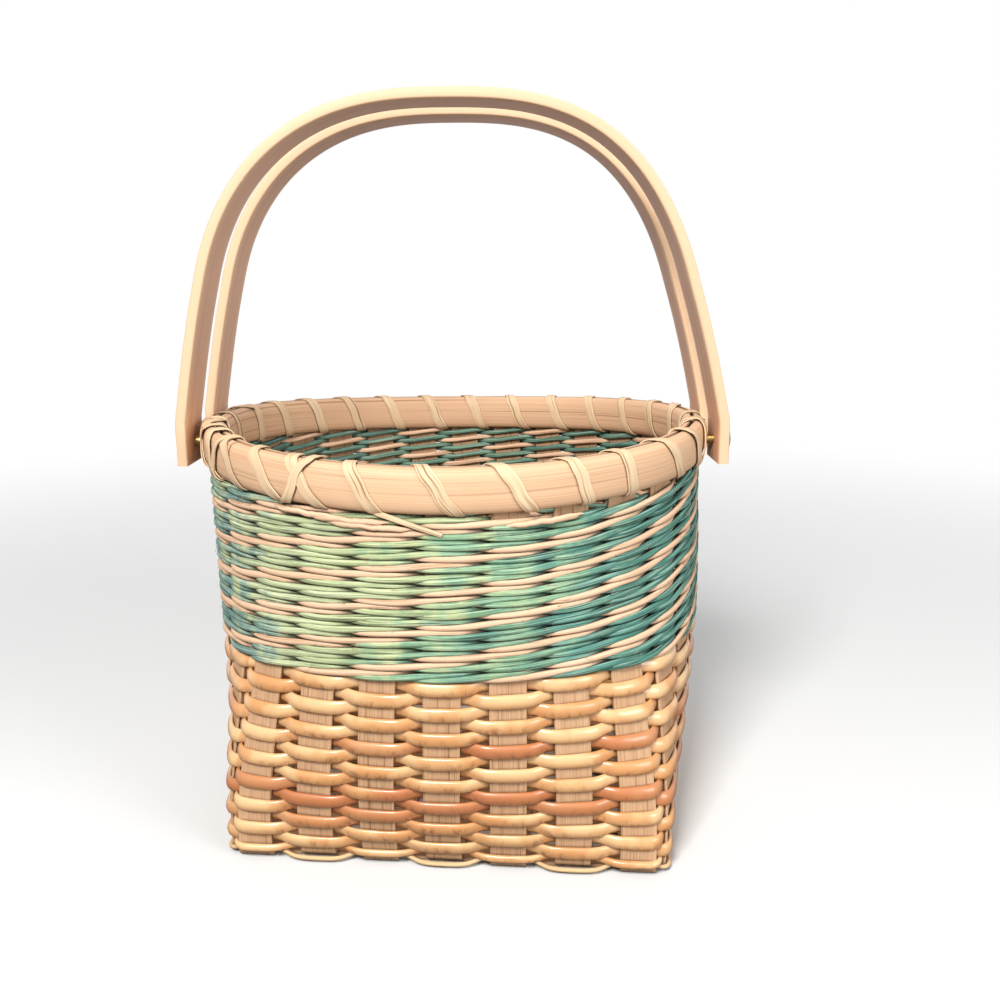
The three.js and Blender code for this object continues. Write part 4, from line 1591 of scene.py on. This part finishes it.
@dataclass
class Handles:
    """Two bent wooden strips, each on a domed bolt at both feet."""

    spacing: float = 40.0 * MM
    width: float = 23.0 * MM
    thickness: float = 3.9 * MM
    softened: float = 0.85 * MM
    # Width of the painted highlight along each narrow edge.
    highlit_edge: float = 1.0 * MM
    rise: float = 125.8 * MM
    arch: float = 97.0 * MM
    squareness: float = 2.65
    lean: float = 1.8 * MM
    lean_power: float = 1.6
    foot: float = 8.0 * MM
    splay: float = 60.0 * MM
    splay_power: float = 1.5
    shank: float = 3.6 * MM
    head: float = 10.0 * MM
    dome: float = 2.2 * MM
    head_edge: float = 0.35 * MM
    head_bevel: float = 0.15 * MM
    shank_bevel: tuple[float, float] = (0.2 * MM, 0.3 * MM)
    tip: float = 0.05 * MM
    leg_steps: int = 34
    arc_steps: int = 70
    dome_steps: int = 12
    sides: int = 40
    crease: float = 40.0
    bolts: float = frame["joints"][0]["pos_m"][2]

    @property
    def top(self) -> float:
        """The height of the arch's middle line over the bolts."""
        return self.rise - self.thickness / 2

    def half_width(self, height: Array) -> Array:
        """Half the width of the handle's middle line at a height over the bolts.

        The arch is a superellipse, a (1 - (h/b)^n)^(1/n). Below the splay height the legs part to clear the
        rim, by the part of that height that is left, raised to a power.

        Args:
            height: heights over the bolts.

        Returns:
            The half widths.
        """
        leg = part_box("handle_front")[1].x - self.thickness / 2
        middle = self.arch - self.thickness / 2
        arch = middle * (1 - np.clip(height / self.top, 0, 1) ** self.squareness) ** (1 / self.squareness)
        left = 1 - np.clip((height - self.foot) / (self.splay - self.foot), 0, 1)
        return arch + (leg - middle) * left**self.splay_power

    def bulge(self, height: Array) -> Array:
        """How far the handle's middle lies to the left at a height over the bolts: lean sin(pi (h/b)^p)."""
        return self.lean * np.sin(math.pi * np.clip(height / self.top, 0, 1) ** self.lean_power)

    def section(self) -> Array:
        """The strip's section, a rectangle with quarter-circle edges.

        Returns:
            Points as distance across and through.
        """
        wide, thick, edge = self.width / 2, self.thickness / 2, self.softened
        turn = np.linspace(0, math.pi / 2, 5)
        corner = np.stack([wide - edge + edge * np.cos(turn), thick - edge + edge * np.sin(turn)], 1)
        flat = np.array([[wide * 0.5, thick], [0.0, thick], [-wide * 0.5, thick]])
        upper = np.concatenate([corner, flat, corner[::-1] * [-1, 1]])
        return np.concatenate([upper, -upper])

    def handle(self, hand: Hand, material: Material) -> None:
        """One handle: a strip with softened edges, bent along the arch, level across.

        Args:
            hand: which handle.
            material: its material.
        """
        word, side = hand.value
        straight = np.linspace(-self.foot, self.splay, self.leg_steps)[:-1]
        begin = math.asin((self.splay / self.top) ** (self.squareness / 2))
        turn = np.linspace(begin, math.pi / 2, self.arc_steps)
        arc = self.top * np.sin(turn) ** (2 / self.squareness)
        height = np.concatenate([straight, arc])
        x = self.half_width(height)
        x, height = np.concatenate([x, -x[-2::-1]]), np.concatenate([height, height[-2::-1]])
        x = x - self.bulge(height)
        ahead = unit(np.stack([np.gradient(x), np.gradient(height)], 1))
        normal = np.stack([-ahead[:, 1], np.zeros(len(x)), ahead[:, 0]], 1)
        points = np.stack([x, np.full(len(x), side * self.spacing / 2), self.bolts + height], 1)
        section = self.section()
        grid = sweep(points, np.broadcast_to([0.0, 1.0, 0.0], points.shape), normal, section)
        # Painted highlight: the narrow edges get tone 1, which the wood's finish paints paler.
        edges = (np.abs(section[:, 0]) > self.width / 2 - self.highlit_edge).astype(float)
        draft = Draft(f"wood_{word}_handle")
        draft.add(grid, tone=np.broadcast_to(edges, grid.shape[:2]), start=(0.7 * side, 0.09 * side))
        place(draft.finish(material, self.crease), f"{word}_handle", "bent_wood", f"handle_{word}")

    def fastener(self, name: str, side: int, y: float, material: Material) -> None:
        """A domed bolt, whose shank ends inside the rim: a profile of radius and distance, turned.

        The dome is a quarter ellipse.

        Args:
            name: the end of the nodes' names.
            side: 1 at the right and -1 at the left.
            y: the bolt's place from front to back.
            material: the metal.
        """
        low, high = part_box(f"bolt_{name}")
        inner, outer = sorted((abs(low.x), abs(high.x)))
        shank, head, seat, edge = self.shank / 2, self.head / 2, outer - self.dome, self.head_edge
        (across, along), bevel = self.shank_bevel, self.head_bevel
        profile = [(self.tip, inner), (shank - across, inner), (shank, inner + along), (shank, seat)]
        profile += [(head - bevel, seat), (head, seat + bevel)]
        arc = np.linspace(0, math.pi / 2, self.dome_steps)[:-1]
        profile += [(head * math.cos(a), seat + edge + (self.dome - edge) * math.sin(a)) for a in arc]
        radius, along = np.array(profile + [(self.tip, outer)]).T[..., None]
        turn = np.arange(self.sides) / self.sides * 2 * math.pi
        parts = [along * side, y + radius * np.cos(turn), self.bolts + radius * np.sin(turn)]
        draft = Draft(f"brass_bolt_{name}")
        draft.add(np.stack(np.broadcast_arrays(*parts), -1))
        place(draft.finish(material, self.crease), "basket", "brass", f"bolt_{name}")

    def build(self, wood: Material, brass: Material) -> None:
        """Makes both handles and the four bolts.

        Args:
            wood: the handles' material.
            brass: the bolts' material.
        """
        for hand in Hand:
            self.handle(hand, wood)
        for side, side_name in ((1, "right"), (-1, "left")):
            for hand in Hand:
                word, end = hand.value
                self.fastener(f"{side_name}_{word}", side, end * self.spacing / 2, brass)


@dataclass
class Studio:
    """Floor, lights, backdrop and the camera. A lamp has its name, place, width and power in watts."""

    camera_place: tuple[float, float, float] = (17.5 * MM, -410.9 * MM, 208.3 * MM)
    pitch: float = math.radians(12.5)
    roll: float = math.radians(-0.23)
    focal_pixels: float = 1030.0
    picture: float = 1000.0
    floor_reach: float = 6.0
    floor_roughness: float = 0.7
    floor_fade: tuple[float, float] = (0.12, 0.95)
    floor_seen: tuple[float, ...] = (0.86, 0.86, 0.85, 1.0)
    floor_thrown: tuple[float, ...] = (0.18, 0.18, 0.18, 1.0)
    sky: tuple[float, ...] = (0.97, 0.98, 1.0, 1.0)
    sky_strength: float = 0.26
    aim: tuple[float, float, float] = (0.0, 0.0, 0.1)
    lamps: tuple[tuple[str, tuple[float, float, float], float, float], ...] = (
        ("key", (-0.26, -0.86, 0.88), 0.34, 15.8),
        ("fill", (0.85, -0.72, 0.45), 0.5, 5.6),
        ("back", (0.1, 0.7, 0.9), 0.7, 1.6),
    )

    def camera(self) -> None:
        """Places the camera where the photograph was taken from."""
        data = bpy.data.cameras.new("camera")
        data.sensor_width = 36.0
        data.lens = self.focal_pixels / self.picture * data.sensor_width
        data.clip_start = 0.01
        camera = add_object("camera", data)
        camera.rotation_mode = "QUATERNION"
        tilt = Matrix.Rotation(math.pi / 2 - self.pitch, 3, "X") @ Matrix.Rotation(self.roll, 3, "Z")
        camera.rotation_quaternion = tilt.to_quaternion()
        camera.location = self.camera_place
        bpy.context.scene.camera = camera

    def lamp(self, name: str, spot: tuple[float, float, float], size: float, power: float) -> None:
        """Adds a soft square lamp that looks at the basket.

        Args:
            name: its name.
            spot: its place.
            size: its width.
            power: its power in watts.
        """
        data = bpy.data.lights.new(name, "AREA")
        data.shape = "SQUARE"
        data.size = size
        data.energy = power
        lamp = add_object(name, data)
        lamp.location = spot
        lamp.rotation_mode = "QUATERNION"
        lamp.rotation_quaternion = (Vector(self.aim) - Vector(spot)).to_track_quat("-Z", "Y")

    def world(self) -> None:
        """A dim even light, which the camera, gloss and glass see as white."""
        world = bpy.data.worlds.new("world")
        bpy.context.scene.world = world
        world.use_nodes = True
        world.node_tree.nodes.clear()
        sheet = Sheet(world.node_tree)
        light = sheet.node("Background", self.sky, self.sky_strength)
        white = sheet.node("Background", WHITE, 1.0)
        mixed = sheet.node("MixShader", sheet.seen(), light.outputs[0], white.outputs[0])
        sheet.node("OutputWorld", mixed.outputs[0])

    def floor(self) -> None:
        """A plain pale floor, which the camera, gloss and glass see fading to white away from the basket.

        It throws less light back than it shows, so that the lower rows aren't lit from below.
        """
        material, sheet, shader = new_material("floor")
        camera = sheet.node("LightPath").outputs["Is Camera Ray"]
        colour = sheet.blend(camera, self.floor_thrown, self.floor_seen)
        sheet.feed_all(shader, {"Base Color": colour, "Roughness": self.floor_roughness})
        spot = sheet.node("TexCoord").outputs["Object"]
        away = sheet.node("VectorMath", spot, operation="LENGTH").outputs["Value"]
        far = sheet.math("MULTIPLY", sheet.seen(), sheet.fade(away, *self.floor_fade))
        white = sheet.node("Emission", WHITE, 1.0)
        mixed = sheet.node("MixShader", far, shader.outputs[0], white.outputs[0])
        sheet.feed(material.node_tree.nodes["Material Output"].inputs["Surface"], mixed.outputs[0])
        mesh = bpy.data.meshes.new("floor")
        reach = self.floor_reach
        corners = [(-reach, -reach, 0), (reach, -reach, 0), (reach, reach, 0), (-reach, reach, 0)]
        mesh.from_pydata(corners, [], [(0, 1, 2, 3)])
        mesh.materials.append(material)
        add_object("floor", mesh)

    def build(self) -> None:
        """Sets up the studio."""
        bpy.context.scene.view_settings.view_transform = "Standard"
        self.camera()
        self.world()
        self.floor()
        for lamp in self.lamps:
            self.lamp(*lamp)


# Each fibre finish below paints shade into its crevices. The rods paint the deepest.
STRIP = FibreFinish(
    "flat_reed", "DCB58D", "B98D68", "80593A", 3900.0, stretch=26.0, hairlines=0.7, roughness=0.7, bump=0.4,
)
FOOT_REED = FibreFinish("foot_reed", "EACB9B", "D3A876", "A47A50", 2600.0, hairlines=0.3)
NATURAL_ROD = FibreFinish(
    "natural_rod", "F4D2B1", "DDB08C", "A0714F", 2700.0, stretch=40.0, hairlines=0.6, roughness=0.7, bump=0.7,
    crevice_shade=0.85,
)
DYED_ROD = DyedFinish(
    "dyed_rod", "FFFFFF", "A0A9A4", "4A5C55", 2700.0, stretch=40.0, hairlines=0.85, roughness=0.72, bump=0.8,
    crevice_shade=0.9, dyes=(
        (0.0, "76A48C"), (0.2, "5C9186"), (0.28, "7BA2A3"), (0.33, "90B5A8"), (0.37, "DDE4B2"),
        (0.485, "DAE4AA"), (0.53, "A2CCA2"), (0.6, "61A293"), (0.72, "3F8A7C"), (0.86, "4C8A7A"),
        (1.0, "76A48C"),
    ),
)
BAND = FibreFinish(
    "rim_band", "E8C29C", "DBAC85", "9C7050", 2100.0, stretch=8.0, hairlines=0.6, roughness=0.6, bump=0.35,
)
LASH = FibreFinish(
    "lashing", "F3D9B4", "DAB389", "9A734E", 2600.0, stretch=34.0, hairlines=1.0, roughness=0.64, bump=0.6,
)
# The wood's edge colour is a painted highlight on the handles' narrow edges.
WOOD = HighlitEdgeFinish(
    "bent_wood", "E9BC9B", "D9A583", "B07B5B", 900.0, stretch=5.0, hairlines=0.2, patches=0.25,
    roughness=0.52, bump=0.12, edge="ECC8A2",
)


def main() -> None:
    logging.basicConfig(level=logging.INFO, format="%(name)s: %(message)s")
    groups = {"reed_fibre": fibre_group(), "cane_skin": cane_group()}
    wall, fits = Wall(), Fits()
    Studio().build()
    Strips(wall, fits).build(STRIP.make(groups))
    CaneWall(wall, fits).build(CaneFinish().make(groups), FOOT_REED.make(groups))
    Wale(wall, fits).build(DYED_ROD.make(groups), NATURAL_ROD.make(groups))
    Rim(wall, fits).build(BAND.make(groups), LASH.make(groups))
    Handles().build(WOOD.make(groups), BrassFinish().make())


if __name__ == "__main__":
    main()
